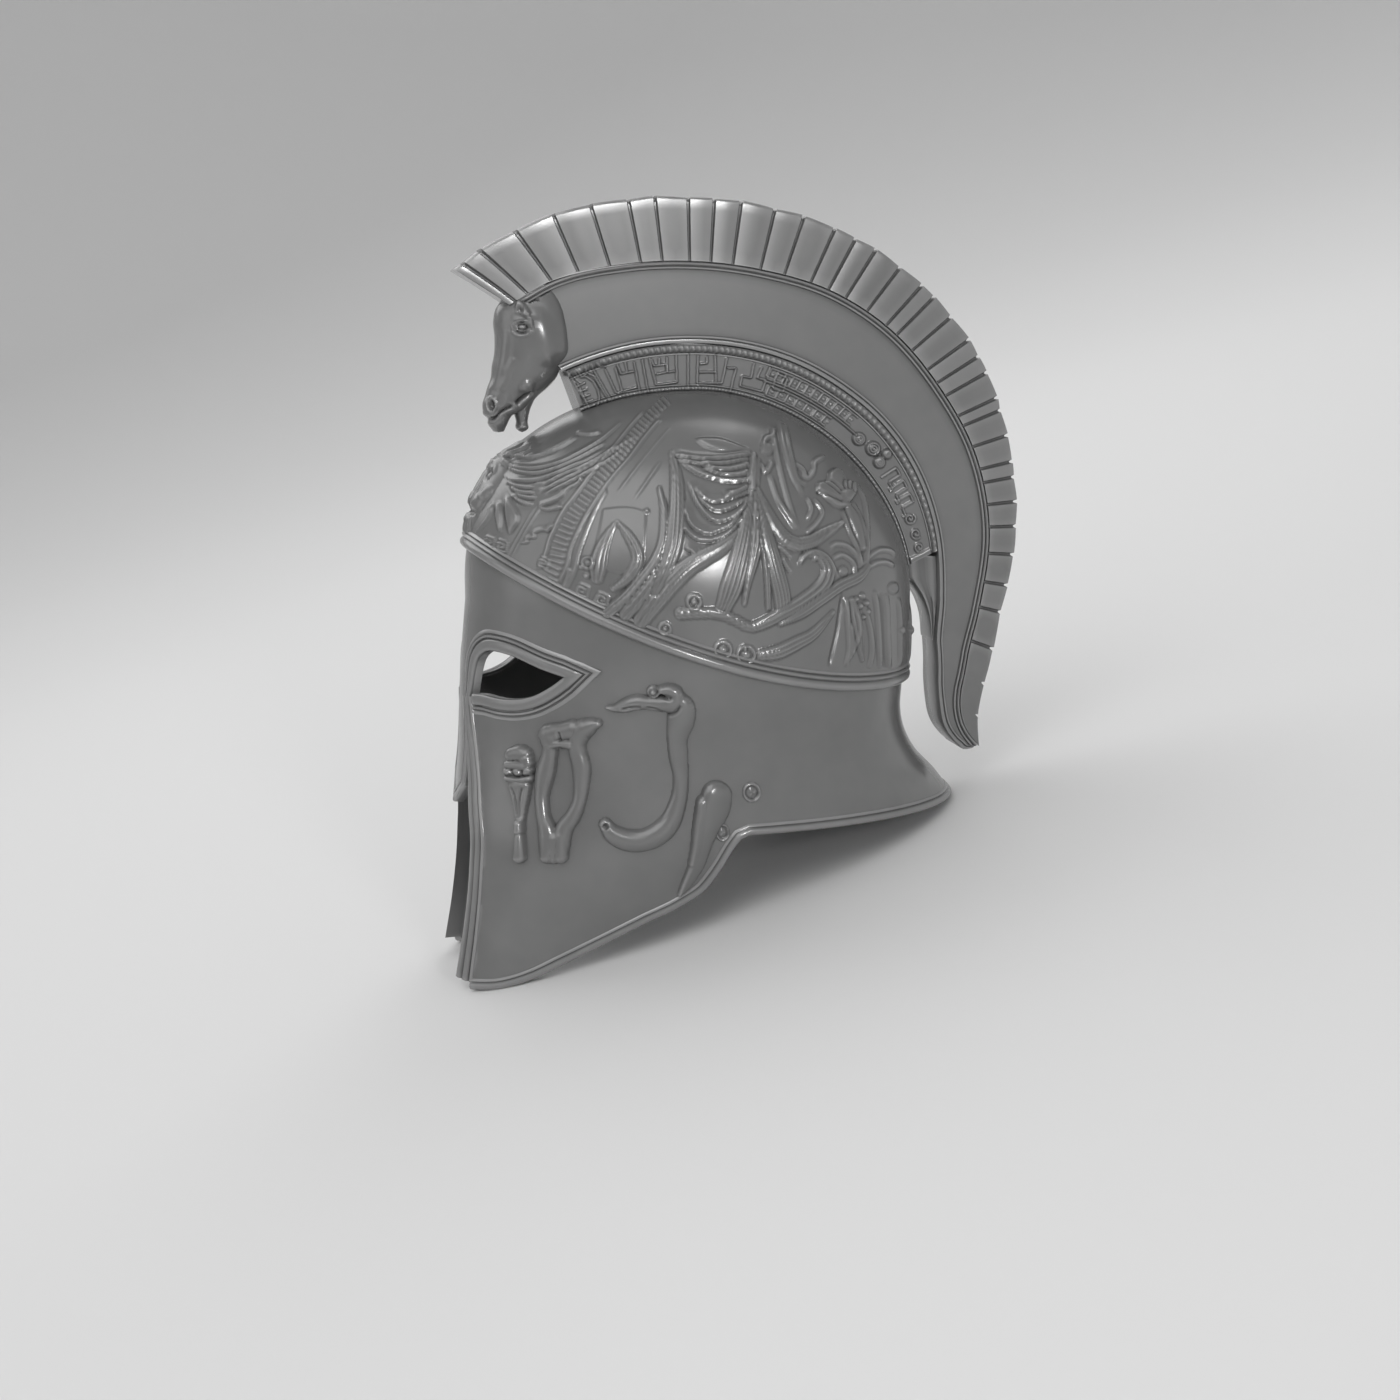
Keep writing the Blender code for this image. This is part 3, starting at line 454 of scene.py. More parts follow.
# Least taper, for a line that ends square, and taper of a fold
LEAST_TAPER = 1e-6
FOLD_TAPER = 0.12


class Relief:
    """A height field in the photograph's pixels, over the places of one surface's points; heights in metres.

    Widths are half widths, and taper is the share of a line's length over which each of its ends fades."""

    def __init__(self, places):
        self.places = places
        self.height = np.zeros(len(places))

    def draw(self, method, text, **how):
        """Use one of the methods below on each line of a text."""
        for line in strokes(text):
            method(line, **how)

    def near(self, line, reach):
        low, high = line.min(0) - reach, line.max(0) + reach
        return np.flatnonzero(np.all((self.places > low) & (self.places < high), axis=1))

    def along_line(self, points, reach, taper):
        """Places near a smooth line: which they are, their distance and side, and the fade of its ends."""
        line = spline(points, STROKE_STEP)
        who = self.near(line, reach)
        distance, along, side = line_distance(self.places[who], line)
        fade = np.clip(np.minimum(along, 1 - along) / max(taper, LEAST_TAPER), 0, 1) ** 0.5
        return who, distance, side, fade

    def along_band(self, points, margin):
        """Places near a line of x, y, half width: which, distance, side, half width there and at its most."""
        line = spline(points, STROKE_STEP)
        widest = line[:, 2].max()
        who = self.near(line[:, :2], widest + margin)
        distance, along, side = line_distance(self.places[who], line[:, :2])
        width = np.interp(along, np.linspace(0, 1, len(line)), line[:, 2])
        return who, distance, side, width, widest

    def ridge(self, points, width, height, taper=0.15):
        """A raised line."""
        who, distance, _, fade = self.along_line(points, width, taper)
        rise = height * np.clip(1 - (distance / width) ** 2, 0, 1) * fade
        self.height[who] = np.maximum(self.height[who], RIDGE_KEEPS * self.height[who] + rise)

    def groove(self, points, width, depth, taper=0.12):
        """A cut line."""
        who, distance, _, fade = self.along_line(points, 2 * width, taper)
        self.height[who] -= depth * np.exp(-((distance / width) ** 2) * 1.6) * fade

    def fold(self, points, width, height):
        """A cloth fold: it rises slowly on the left of the line and drops sharply on its right."""
        who, distance, side, fade = self.along_line(points, width, FOLD_TAPER)
        rise = np.clip(1 - distance / width, 0, 1) ** 1.3
        cut = FOLD_CUT_SHARE * np.clip(1 - np.abs(distance - FOLD_CUT) / FOLD_CUT, 0, 1)
        drop = np.clip(1 - distance / (0.5 * FOLD_CUT), 0, 1)
        self.height[who] += height * np.where(side < 0, rise, drop - cut) * fade

    def mound(self, outline, height, edge=2.5, dome=0.0):
        """A raised patch in an outline: its edge climbs over so many pixels, and a dome goes on rising."""
        line = spline(np.vstack([outline, outline[:1]]), STROKE_STEP)
        who = self.near(line, 1.0)
        distance, _, _ = line_distance(self.places[who], line)
        within = inside(self.places[who], line[:-1])
        climb = np.clip(distance / edge, 0, 1)
        climb = climb * climb * (3 - 2 * climb)
        if dome:
            span = distance[within].max(initial=1.0)
            climb = climb * (1 + dome * np.sqrt(np.clip(distance / span, 0, 1)))
        self.height[who] += np.where(within, height * climb, 0)

    def disc(self, centre, radius, height, squash=1.0, ring=None):
        """A domed button, or with ring a raised circle of that half width."""
        off = self.places - np.asarray(centre, float)
        distance = np.hypot(off[:, 0], off[:, 1] / squash)
        if ring:
            self.height += height * np.clip(1 - (np.abs(distance - radius) / ring) ** 2, 0, 1)
        else:
            self.height += height * np.sqrt(np.clip(1 - (distance / radius) ** 2, 0, 1))

    def key(self, points, width, height):
        """A raised line with sharp corners."""
        for ends in zip(points, points[1:]):
            self.ridge(np.array(ends), width, height, 0.0)

    def limb(self, points, height, lean=0.0):
        """A round-backed limb of x, y, half width points; lean moves its crest to the line's right."""
        who, distance, side, width, widest = self.along_band(points, LIMB_MARGIN)
        share = 1 - (distance / (width * (1 - lean * side))) ** 2
        rise = height * np.abs(share) ** 0.5 * (0.55 + 0.45 * width / widest)
        self.height[who] = np.maximum(self.height[who], np.where(share > 0, rise, -1))

    def strands(self, points, height, count):
        """A band of cloth or hair in so many strands side by side; each point is x, y, half width."""
        who, distance, side, width, widest = self.along_band(points, STRAND_MARGIN)
        share = np.clip(1 - (distance / width) ** 2, 0, 1)
        across = side * distance / width
        waves = 1 - STRAND_CUT_SHARE * (1 - np.abs(np.sin(0.5 * pi * count * (across + 1))) ** 0.8)
        rise = height * share**0.4 * waves * (0.5 + 0.5 * width / widest)
        over = np.maximum(rise, STRANDS_KEEP * self.height[who] + STRANDS_ADD * rise)
        self.height[who] = np.where(share > 0, over, self.height[who])

    def spiral(self, centre, radius, turns, width, height, start):
        """A raised scroll that winds in to its centre."""
        angles = np.linspace(0, 2 * pi * turns, int(14 * turns))
        reach = radius * (1 - SCROLL_REACH * angles / angles[-1])
        across, down = reach * np.cos(start + angles), reach * np.sin(start + angles)
        self.ridge(np.stack([centre[0] + across, centre[1] + down], -1), width, height, taper=0.08)


# Borders that run along the sheet's edges

# Border sections: distance in from the sheet's edge and rise over its outer face, in tenths of a millimetre
FRONT_BORDER = "-3,-12 -3,2 2,8 12,9 17,3 21,-1 26,-1 31,7 41,10 57,9 64,3 69,-3 76,-3 83,3 94,2 110,-4"
LOWER_BORDER = "-4,-12 -6,0 -1,9 10,13 24,11 29,4 33,3 37,8 45,7 51,-4"
EYE_BORDER = "-3,-12 -3,2 3,9 16,12 40,11 50,7 53,0 58,0 62,8 71,9 76,1 80,1 84,6 93,4 104,-4"
INNER_LIP = "22,-8 12,6 1,6 -4,1"
CAP_BORDER = """
6,4 -6,4 -14,12 -13,26 -3,37 12,39 25,34 31,26 34,26 38,33 46,36 53,31 57,25 61,26 66,30 74,26 80,12
"""


def section(text):
    """A border's section in metres."""
    return strokes(text)[0] / 10000


def with_lip(border):
    """A sheet's border section with the plain lip that it has on the inner face."""
    inner = [(across, -SHELL_WALL - rise) for across, rise in section(INNER_LIP)]
    return np.vstack([inner, section(border)])


# A mitre is drawn out in full while 1 plus the cosine of the corner's turn is above this
MITRE_LIMIT = 0.45


def sweep(builder, path, outline, width=1.0):
    """Carry a closed outline along a path on the wall.

    The outline is distance to the path's left and rise; width scales the former at each point of the path."""
    normal = wall_normals(path)
    ahead = np.roll(path, -1, axis=0) - path
    ahead[-1] = ahead[-2]
    ahead = unit(ahead)
    before = np.roll(ahead, 1, axis=0)
    before[0] = ahead[0]
    left = np.cross(normal, ahead)
    mitre = left + np.cross(normal, before)
    mitre /= np.maximum((left * mitre).sum(1, keepdims=True), MITRE_LIMIT)
    inward, rise = outline.T
    scale = np.broadcast_to(width, len(path))[:, None]
    reach = np.where(inward > 0, inward * scale, inward)
    builder.tube(path[:, None] + mitre[:, None] * reach[..., None] + normal[:, None] * rise[:, None])


def on_front(points):
    """Points of the wall's front half from (x, z), in metres."""
    points = np.asarray(points)
    return np.stack([points[:, 0], wall_front(points[:, 0], points[:, 1]), points[:, 1]], -1)


def on_side(points):
    """Points of the wall's left half from (y, z), in metres."""
    points = np.asarray(points)
    return np.stack([wall_side(points[:, 0], points[:, 1]), points[:, 0], points[:, 1]], -1)


# Outline of the front opening on the left half, as (x, z) shares: cheek edge of CHEEK_EDGE and CHEEK_DROP,
# eye of EYE_CORNER and EYE_HEIGHT about the eye's floor, nasal of NASAL_HALF_WIDTH and NASAL_TIP_DROP
CHEEK_FRONT_EDGE = (
    (0.930, 1.000), (0.950, 0.853), (0.985, 0.730), (1.000, 0.600), (0.860, 0.500), (0.680, 0.400),
    (0.550, 0.318), (0.478, 0.255), (0.466, 0.239),
)
EYE_FLOOR = ((0.330, 0.000), (0.450, 0.030), (0.620, 0.012), (0.740, 0.050), (0.840, 0.165), (0.930, 0.380),
             (1.000, 0.620))
EYE_LID = ((1.000, 0.620), (0.900, 0.740), (0.720, 0.955), (0.540, 1.005), (0.445, 0.930), (0.370, 0.750),
           (0.325, 0.450), (0.295, 0.080))
NASAL_EDGE = ((1.030, 0.440), (0.990, 0.520), (1.000, 0.620), (1.075, 0.790), (1.095, 0.880))


# Step of the borders' paths
EDGE_STEP = 0.0011


def cheek_front_path():
    return spline([(x * CHEEK_EDGE, -z * CHEEK_DROP) for x, z in CHEEK_FRONT_EDGE], EDGE_STEP)


def eye_path():
    """The edge from the cheek's upper corner round the eye and down the nasal to its tip."""
    floor, lid = ([(x * EYE_CORNER, -EYE_DROP + z * EYE_HEIGHT) for x, z in edge]
                  for edge in (EYE_FLOOR, EYE_LID))
    nasal = [(x * NASAL_HALF_WIDTH, -z * NASAL_TIP_DROP) for x, z in NASAL_EDGE]
    return np.vstack([spline(floor, EDGE_STEP), spline(lid + nasal, EDGE_STEP)[1:], (0.0, -NASAL_TIP_DROP)])


# Shell

SHELL_TURNS = 232
SHELL_WALL_ROWS = 62
SHELL_DOME_ROWS = 20


def height_at(turn, edge):
    """Height at which columns of the wall meet an edge given along Y."""
    height = np.zeros_like(turn)
    for _ in range(60):
        height += 0.5 * (edge(wall_points(turn, height)[..., 1]) - height)
    return height


def shell_sheet():
    """The closed double-walled sheet, uncut."""
    turn = np.linspace(-pi, pi, SHELL_TURNS, endpoint=False)
    low, rim = height_at(turn, lower_edge_height), height_at(turn, cap_rim_height)
    rows = [low + (rim - low) * i / SHELL_WALL_ROWS for i in range(SHELL_WALL_ROWS)]
    rows += [rim + (CROWN_RISE - rim) * sin(pi / 2 * i / SHELL_DOME_ROWS) for i in range(SHELL_DOME_ROWS)]
    heights = np.array(rows)
    outer = wall_points(np.broadcast_to(turn, heights.shape), heights)
    inner = outer - wall_normals(outer) * SHELL_WALL
    builder = Builder()
    out = builder.grid(outer, close_columns=True)
    into = builder.grid(inner[::-1], close_columns=True)
    builder.fan(out[-1, :-1], (0, 0, CROWN_RISE))
    builder.fan(into[0, :-1], (0, 0, CROWN_RISE - SHELL_WALL))
    rim = np.stack([out[0, :-1], out[0, 1:], into[-1, 1:], into[-1, :-1]], -1)
    builder.faces += rim.tolist()
    return builder.done("shell_wall")


# The opening's prism reaches from here to here along Y, as shares of BOWL_FRONT
CUTTER_REACH = (-1.5, -0.45)


def opening_cutter():
    """A prism of the face opening, from far in front to the middle of the bowl."""
    cheek = cheek_front_path()
    low = [(0, -1.2 * CHEEK_DROP), (cheek[0, 0], -1.2 * CHEEK_DROP)]
    half = np.vstack([low, cheek, eye_path()])
    outline = np.vstack([half, half[-2:0:-1] * (-1, 1)])
    builder = Builder()
    builder.tube(np.array([[(x, y * BOWL_FRONT, z) for x, z in outline] for y in CUTTER_REACH]))
    return builder.done("face_opening_cutter")


# How far before the notch the lower border leaves the cheek's edge, and how far behind it joins the neck rim
NOTCH_GAPS = (0.0015, 0.003)


def lower_path():
    """The cheek guard's lower edge from its tip to the notch, then the neck rim to the back."""
    tip = float(wall_front(CHEEK_FRONT_EDGE[0][0] * CHEEK_EDGE, -CHEEK_DROP))
    along = np.linspace(tip, NOTCH_PLACE - NOTCH_GAPS[0], 80)
    cheek = np.stack([along, lower_edge_height(along)], -1)
    share = np.clip((NOTCH_PLACE + NOTCH_GAPS[1]) / wall_section(-NECK_DROP)[1], -1, 1)
    turn = np.linspace(np.arccos(-share ** (BACK_SQUARENESS / 2)), pi, 110)
    rim = wall_points(turn, np.full(110, -NECK_DROP))
    rim[-1, 0] = 0.0
    return np.vstack([on_side(cheek), rim])


# How much narrower the eye's border is down the nasal, and over how many of its points it narrows
NASAL_NARROWING = 0.42
NARROWING_STEPS = 14


def shell_borders():
    """The ridged borders of the left half, mirrored."""
    builder = Builder()
    eye = eye_path()
    corner = (NASAL_EDGE[0][0] * NASAL_HALF_WIDTH, -NASAL_EDGE[0][1] * NASAL_TIP_DROP)
    start = np.argmin(np.hypot(*(eye - corner).T)) - NARROWING_STEPS
    width = 1 - NASAL_NARROWING * np.clip((np.arange(len(eye)) - start) / NARROWING_STEPS, 0, 1)
    sweep(builder, on_front(eye)[::-1], with_lip(EYE_BORDER), width[::-1])
    sweep(builder, on_front(cheek_front_path()[3:]), with_lip(FRONT_BORDER))
    sweep(builder, lower_path(), with_lip(LOWER_BORDER))
    builder.mirror()
    return builder.done("shell_borders", 55.0)


def build_shell():
    shell = shell_sheet()
    cutter = opening_cutter()
    cut = shell.modifiers.new("Opening", "BOOLEAN")
    cut.operation = "DIFFERENCE"
    cut.solver = "EXACT"
    cut.object = cutter
    graph = bpy.context.evaluated_depsgraph_get()
    mesh = bpy.data.meshes.new_from_object(shell.evaluated_get(graph))
    shell.modifiers.clear()
    shell.data = mesh
    bpy.data.objects.remove(cutter, do_unlink=True)
    finish_mesh(shell, 40.0)
    return shell, shell_borders()


# Cap

CAP_COLUMNS = 440
CAP_ROWS = 206
CAP_INNER_ROWS = 8
CAP_PIVOT = -0.140


# Where the rays to the cap's rim end along Y, and the radii between which its points are looked for
CAP_ENDS = (-0.1121, 0.1098)
RAY_REACH = (0.05, 0.30)
RAY_HALVINGS = 44


def on_ray(spread, radius):
    """Y and Z at a distance from the cap's pivot, on rays that spread from straight up towards the back."""
    return radius * np.sin(spread), CAP_PIVOT + radius * np.cos(spread)


def ray_reach(spread, is_below):
    """Distance along each ray at which is_below(y, z) stops being true."""
    low, high = (np.full_like(spread, reach) for reach in RAY_REACH)
    for _ in range(RAY_HALVINGS):
        middle = (low + high) / 2
        below = is_below(*on_ray(spread, middle))
        low, high = np.where(below, middle, low), np.where(below, high, middle)
    return low


def wall_contains(y, z):
    front, back, _, _ = wall_section(z)
    return (np.abs(y) < np.where(y < 0, front, back)) & (z < CROWN_RISE)


def cap_grid(columns, rows):
    """Wall points of the cap's left half: columns run from its rim up to the mid-plane."""
    first, last = (atan2(y, cap_rim_height(y) - CAP_PIVOT) for y in CAP_ENDS)
    spread = np.linspace(first, last, columns)
    rim = ray_reach(spread, lambda y, z: z < cap_rim_height(y))
    top = np.maximum(ray_reach(spread, wall_contains), rim + 1e-5)
    share = np.linspace(0, 1, 400)[:, None]
    radius = rim + (top - rim) * (1 - (1 - share) ** 2)
    y, z = on_ray(spread[None, :], radius)
    x = wall_side(y, z)
    x[-1] = 0.0
    dense = np.stack([x, y, z], -1)
    walked = np.cumsum(np.linalg.norm(np.diff(dense, axis=0, prepend=dense[:1]), axis=2), axis=0)
    grid = np.empty((rows, columns, 3))
    for c in range(columns):
        at = np.linspace(0, walked[-1, c], rows)
        for k in range(3):
            grid[:, c, k] = np.interp(at, walked[:, c], dense[:, c, k])
    grid[-1, :, 0] = 0.0
    return grid


# At the back the plate is plain for so far beside the mid-plane, and its relief sets in over so much more
BACK_PLAIN = 0.016
BACK_FADE = 0.006
# The relief climbs to its full height in one part of so many from the rim to the mid-plane
RIM_CLIMB = 40


def build_cap():
    wall = cap_grid(CAP_COLUMNS, CAP_ROWS)
    normal = wall_normals(wall)
    normal[-1, :, 0] = 0.0
    normal = unit(normal)
    base = wall + normal * (GAP + CAP_WALL)
    flat = base.reshape(-1, 3)
    beside = np.clip((flat[:, 0] - BACK_PLAIN) / BACK_FADE, 0, 1)
    relief = cap_relief(around_the_back(flat)) * np.where(flat[:, 1] > 0, beside, 1)
    relief += mask_relief(flat)
    fade = np.clip(np.linspace(0, 1, CAP_ROWS)[:, None] * RIM_CLIMB, 0, 1)
    outer = base + normal * (relief.reshape(wall.shape[:2]) * fade)[..., None]
    inner_wall = cap_grid(CAP_COLUMNS, CAP_INNER_ROWS)
    inner = inner_wall + wall_normals(inner_wall) * GAP
    inner[-1, :, 0] = 0.0
    halves = []
    for name, mirror in (("skull_cap_left", 1), ("skull_cap_right", -1)):
        builder = Builder()
        out = builder.grid(outer * (mirror, 1, 1))
        into = builder.grid(inner[::-1] * (mirror, 1, 1))
        rim = np.stack([out[0, 1:], out[0, :-1], into[-1, :-1], into[-1, 1:]], -1)
        builder.faces += rim.tolist()
        half = builder.done(name, 60.0)
        join_shading(half)
        halves.append(half)
    return halves, cap_border()


def cap_border():
    """The stepped double ridge along the plate's rim."""
    turn = np.linspace(0, pi, 260)
    rim = wall_points(turn, height_at(turn, cap_rim_height))
    rim[0, 0] = rim[-1, 0] = 0.0
    builder = Builder()
    sweep(builder, rim, section(CAP_BORDER))
    builder.mirror()
    return builder.done("skull_cap_border", 55.0)


def join_shading(half):
    """Keep the shading smooth where the two halves of the cap meet."""
    normals = vertex_vectors(half.data, "normal")
    seam = np.abs(vertex_vectors(half.data, "co")[:, 0]) < MERGE_DISTANCE
    normals[seam, 0] = 0.0
    half.data.normals_split_custom_set_from_vertices(unit(normals).tolist())


# Only what lies right of this pixel column can be behind the cap's rear outline
REAR_FROM = 640


def around_the_back(points):
    """Picture places of points on the cap; those behind its rear outline carry on past the outline."""
    levels = np.linspace(CAP_RIM_BACK - 0.01, CROWN_RISE, 60)
    turn = np.linspace(0.6 * pi, pi, 160)
    rim = in_photo(wall_points(turn[None, :], levels[:, None]))[..., 0]
    outline = np.interp(points[:, 2], levels, rim.max(axis=1))
    edge_y = wall_points(turn[rim.argmax(axis=1)], levels)[:, 1]
    hidden = points[:, 1] > np.interp(points[:, 2], levels, edge_y)
    places = in_photo(points)
    behind = hidden & (places[:, 0] > REAR_FROM)
    places[:, 0] = np.where(behind, 2 * outline - places[:, 0], places[:, 0])
    return places


# Relief of the cap, in the photograph's pixels

MANE_LOCKS = """
509,456 525,458 538,456 553,451 566,445 578,437
503,457 511,466 525,469 540,468 559,463 578,454 599,442 612,432 622,422
502,461 510,469 523,473 540,473 556,468 573,461 589,453 606,443
504,475 511,480 523,481 536,480 553,475 573,466 589,460 606,450
506,482 515,486 526,488 534,487
509,485 516,491 526,493 534,493
511,488 518,495 528,498 536,498
511,495 518,501 526,505 533,505
542,486 553,480 563,474 581,468 599,458 619,446
539,493 556,484 573,475 589,466 606,457 622,446 636,437
546,494 566,484 583,475 599,466 616,456 624,447
576,434 589,435 601,433
539,505 546,504 554,501 563,496 569,489 578,484 583,478
538,506 546,510 556,509 563,507
520,543 527,543 528,538 535,538 535,533 543,530 548,531 554,524
"""
BEARD_PETALS = """
493,500 495,508 491,519 484,529 477,533 475,531 479,526 486,516 489,506
497,500 502,503 504,513 504,526 501,533 498,531 495,519 495,508
505,493 513,501 520,514 520,523 515,531 511,536 508,533 505,519 504,506
"""
LADDER = "549,576 556,561 560.5,543 571,519 582,503 602,475 621,453 637,432 652,414 668,399"
LADDER_SIDES = """
538,570 545,555 550,538 562,513 574,497 594,470 613,448 629,428 644,411
560,582 567,566 571,548 581,525 590,509 609,481 629,458 645,437 660,419
566,588 575,569 580,549 594,513 607,490
563,589 567,579 570,569
"""
FINE_LINES = """
617,494 640,464 670,428
634,500 648,480 661,461
536,506 521,532 506,558
540,507 525,533 510,560
593,604 601,592
"""
PLAQUE = "602,508 627,506 645,510 647,513 646,536 643,560 630,575 596,566 595,546 599,526"
# Bands of strands: how many strands, then points as x, y, half width, as in LIMBS
BANDS = """
3 617,521,1.5 608,535,5 601,552,7.5 598,568,8.5 597,578,6
3 617,521,1.5 628,535,5 637,552,6 636,566,6 626,580,5 613,589,3
3 659,488,1.5 664,512,4 663,540,5 655,562,6 642,580,6.5 626,598,6.5 608,613,6
4 670,554,4 660,572,6 645,592,7 626,614,7
5 740,533,4 722,547,7 704,557,8.5 688,567,9.5 672,582,10 657,600,9.5 641,621,8
4 671,452,1.5 676,475,6 677,500,7.5 676,525,8.5 673,548,8.5 665,570,7.5 655,592,5
5 752,491,2 748,515,5.5 744,540,8.5 738,565,10.5 731,588,11 724,606,8
3 755,491,2 757,515,4.5 757,540,6 753,562,5 748,582,3.6 744,604,2.4
2 758,520,2 764,550,3.4 767,580,3 768,608,2.6
5 756,491,2 762,515,4 768,540,6.5 775,567,8 781,592,8.5 783,608,8
4 757,489,2.5 770,516,5 782,535,6.5 795,544,7 810,542,6.5 827,532,5 842,523,2
3 800,562,2 806,555,3 815,554,4.5 824,560,6 828,572,7 821,587,7.5 803,601,7 784,612,6.5 766,622,6 \
750,627,5 735,620,5 718,614,5 700,613,5.5 680,614,5.5
3 868,566,3 858,577,5 840,586,5.5 820,600,5.5 800,614,5 780,624,2.4
3 862,660,1.5 859,640,4 856,620,5 852,600,3
3 762,655,5.5 778,652,7 797,643,6.5 814,633,5 833,612,2
"""
LIMBS = """
848,508,3.5 853,518,5.6 858,532,4.8 862,548,3
753,455,3 753,470,4 752,488,3.5
"""
SWAGS = """
671,455 695,459 723,459 751,455
682,463 699,474 718,480 732,482 749,481
701,464 714,469 729,470 749,466
703,468 718,474 732,476 749,474
677,460 699,464 723,464 749,459
725,498 734,494 749,487
689,483 695,499 703,512 714,521 727,520 740,512 751,498
694,488 703,498 714,502 727,500 744,494 752,489
697,494 705,505 716,511 729,509 744,500
680,507 682,524 690,535 701,541 716,540 729,533 741,520 751,503
682,501 688,520 695,529 707,534 719,531 733,523 750,500
684,548 694,553 703,556 714,552 727,542 741,528
"""
UPPER_LEAF = """
693,439 701,437 718,437 732,441 744,446 754,450 744,451 729,453 719,453 708,450 699,445
725,493 729,489 736,489 750,484 742,493 731,498
"""
SKIRT_FLUTES = """
777,546 784,551 791,559
781,557 786,566 791,573
"""
TIES = """
752,455 751,468 747,483
758,457 758,468 757,486
762,446 766,438 772,436 773,428
760,463 766,472 772,461
"""
POLES = """
771,425 777,457 786,494 797,529
779,420 784,448 792,475 799,488 803,495
784,424 790,453 797,479 807,485
769,474 777,498 788,516 796,529
"""
FLOWER = """
815,490 815.8,484 820,481.5 826,480 828,472.5 835.8,468.3 842.5,472.5 844,479 848,480 853.3,481.7 857,488 \
855,495 850,502 848,507 836.7,508.5 825,500
"""
FLOWER_CUTS = """
825,480 832.5,485 840,493
842,471 843,479 841,485 843,491
816,492 828,497 841,503
822,482 830,488 839,496
846,479 845.5,486 847,492
851,481 850,489 851,494
"""
FLOWER_STEMS = """
842,511 849,531 856,546 862,566
853,503 862,524 866,546 864,568
856,483 864,501 867,524 867,549 867,568
807,498 811,509 807,520
814,499 822,512 816,524 806,533
795,463 803,470 806,478 813,472 815,462 825,456
"""
SCROLL_LINES = """
799,566 803,556 814,551 825,556 833,568 838,578
829,548 836,544 847,546 857,556 861,568
832,559 842,555 853,563 855,577
"""
# Rings as x, y, radius and half width; buttons and lumps as x, y, radius
RINGS = "694,602,6.6,2 723,650,8,1.8 746,655,8.6,1.8 665,629,5.6,1.5 588,563,5.6,1.8"
BUTTONS = """
694,602,3.2 723,650,4.2 746,655,4.6 745,649,1.8 665,629,2.2 588,563,3.6 581,567,2.2 586,576,2.8 \
647,511,2.2 843,571,5 846.7,496.6,6.2 893,588,6 902,630,4 814,559,2.6 581,479,2.4 767,449,6.5
"""
PILASTERS = """
846,598 848,624 849,648 846,666
855,608 858,630 853,650 848,660
864,606 870,628 872,650 869,668
874,590 877,610 879,640 880,668
886,594 887,610 888,640 889,668
898,598 900,620 900,640 900,666
850,622 852,640 851,656
"""
SHADOW_LINES = """
843,592 840,612 837,632 832,654 829,668
881,592 883,620 884,645 885,668
"""
REAR_ARCHES = """
867,560 871,555 880,550 890,551 896,556
869,567 876,563 885,562 894,566
"""
# Square keys: corner, then their sides to the right and down
KEYS = """
486,536,9,3,-1,9 499,539,9,3,-2,11 580,583,9,4,-3,11 599,592,10,4,-3,10 541,556,9,4,-3,9 548,577,9,4,-3,8
"""
LUMPS = "862,596,3.2 866,603,2.8 860,606,2.8 868,611,2.6 856,599,2.4 863,617,2.2"


# Half width of the ladder band and pitch of its rungs in pixels: at its foot, and how much less at its top
LADDER_HALF = (7.6, 2.6)
RUNG_PITCH = (6.4, 2.0)


def ladder_rungs():
    """The bars of the ladder band, from its wide foot to its narrow top."""
    line = spline(strokes(LADDER)[0], 1.0)
    rungs, at = [], 4.0
    while at < len(line) - 2:
        share = at / len(line)
        here = line[int(at)]
        ahead = line[int(at) + 1] - here
        half = LADDER_HALF[0] - LADDER_HALF[1] * share
        across = np.array([-ahead[1], ahead[0]]) / np.hypot(*ahead) * half
        rungs.append(np.array([here - across, here + across]))
        at += RUNG_PITCH[0] - RUNG_PITCH[1] * share
    return rungs


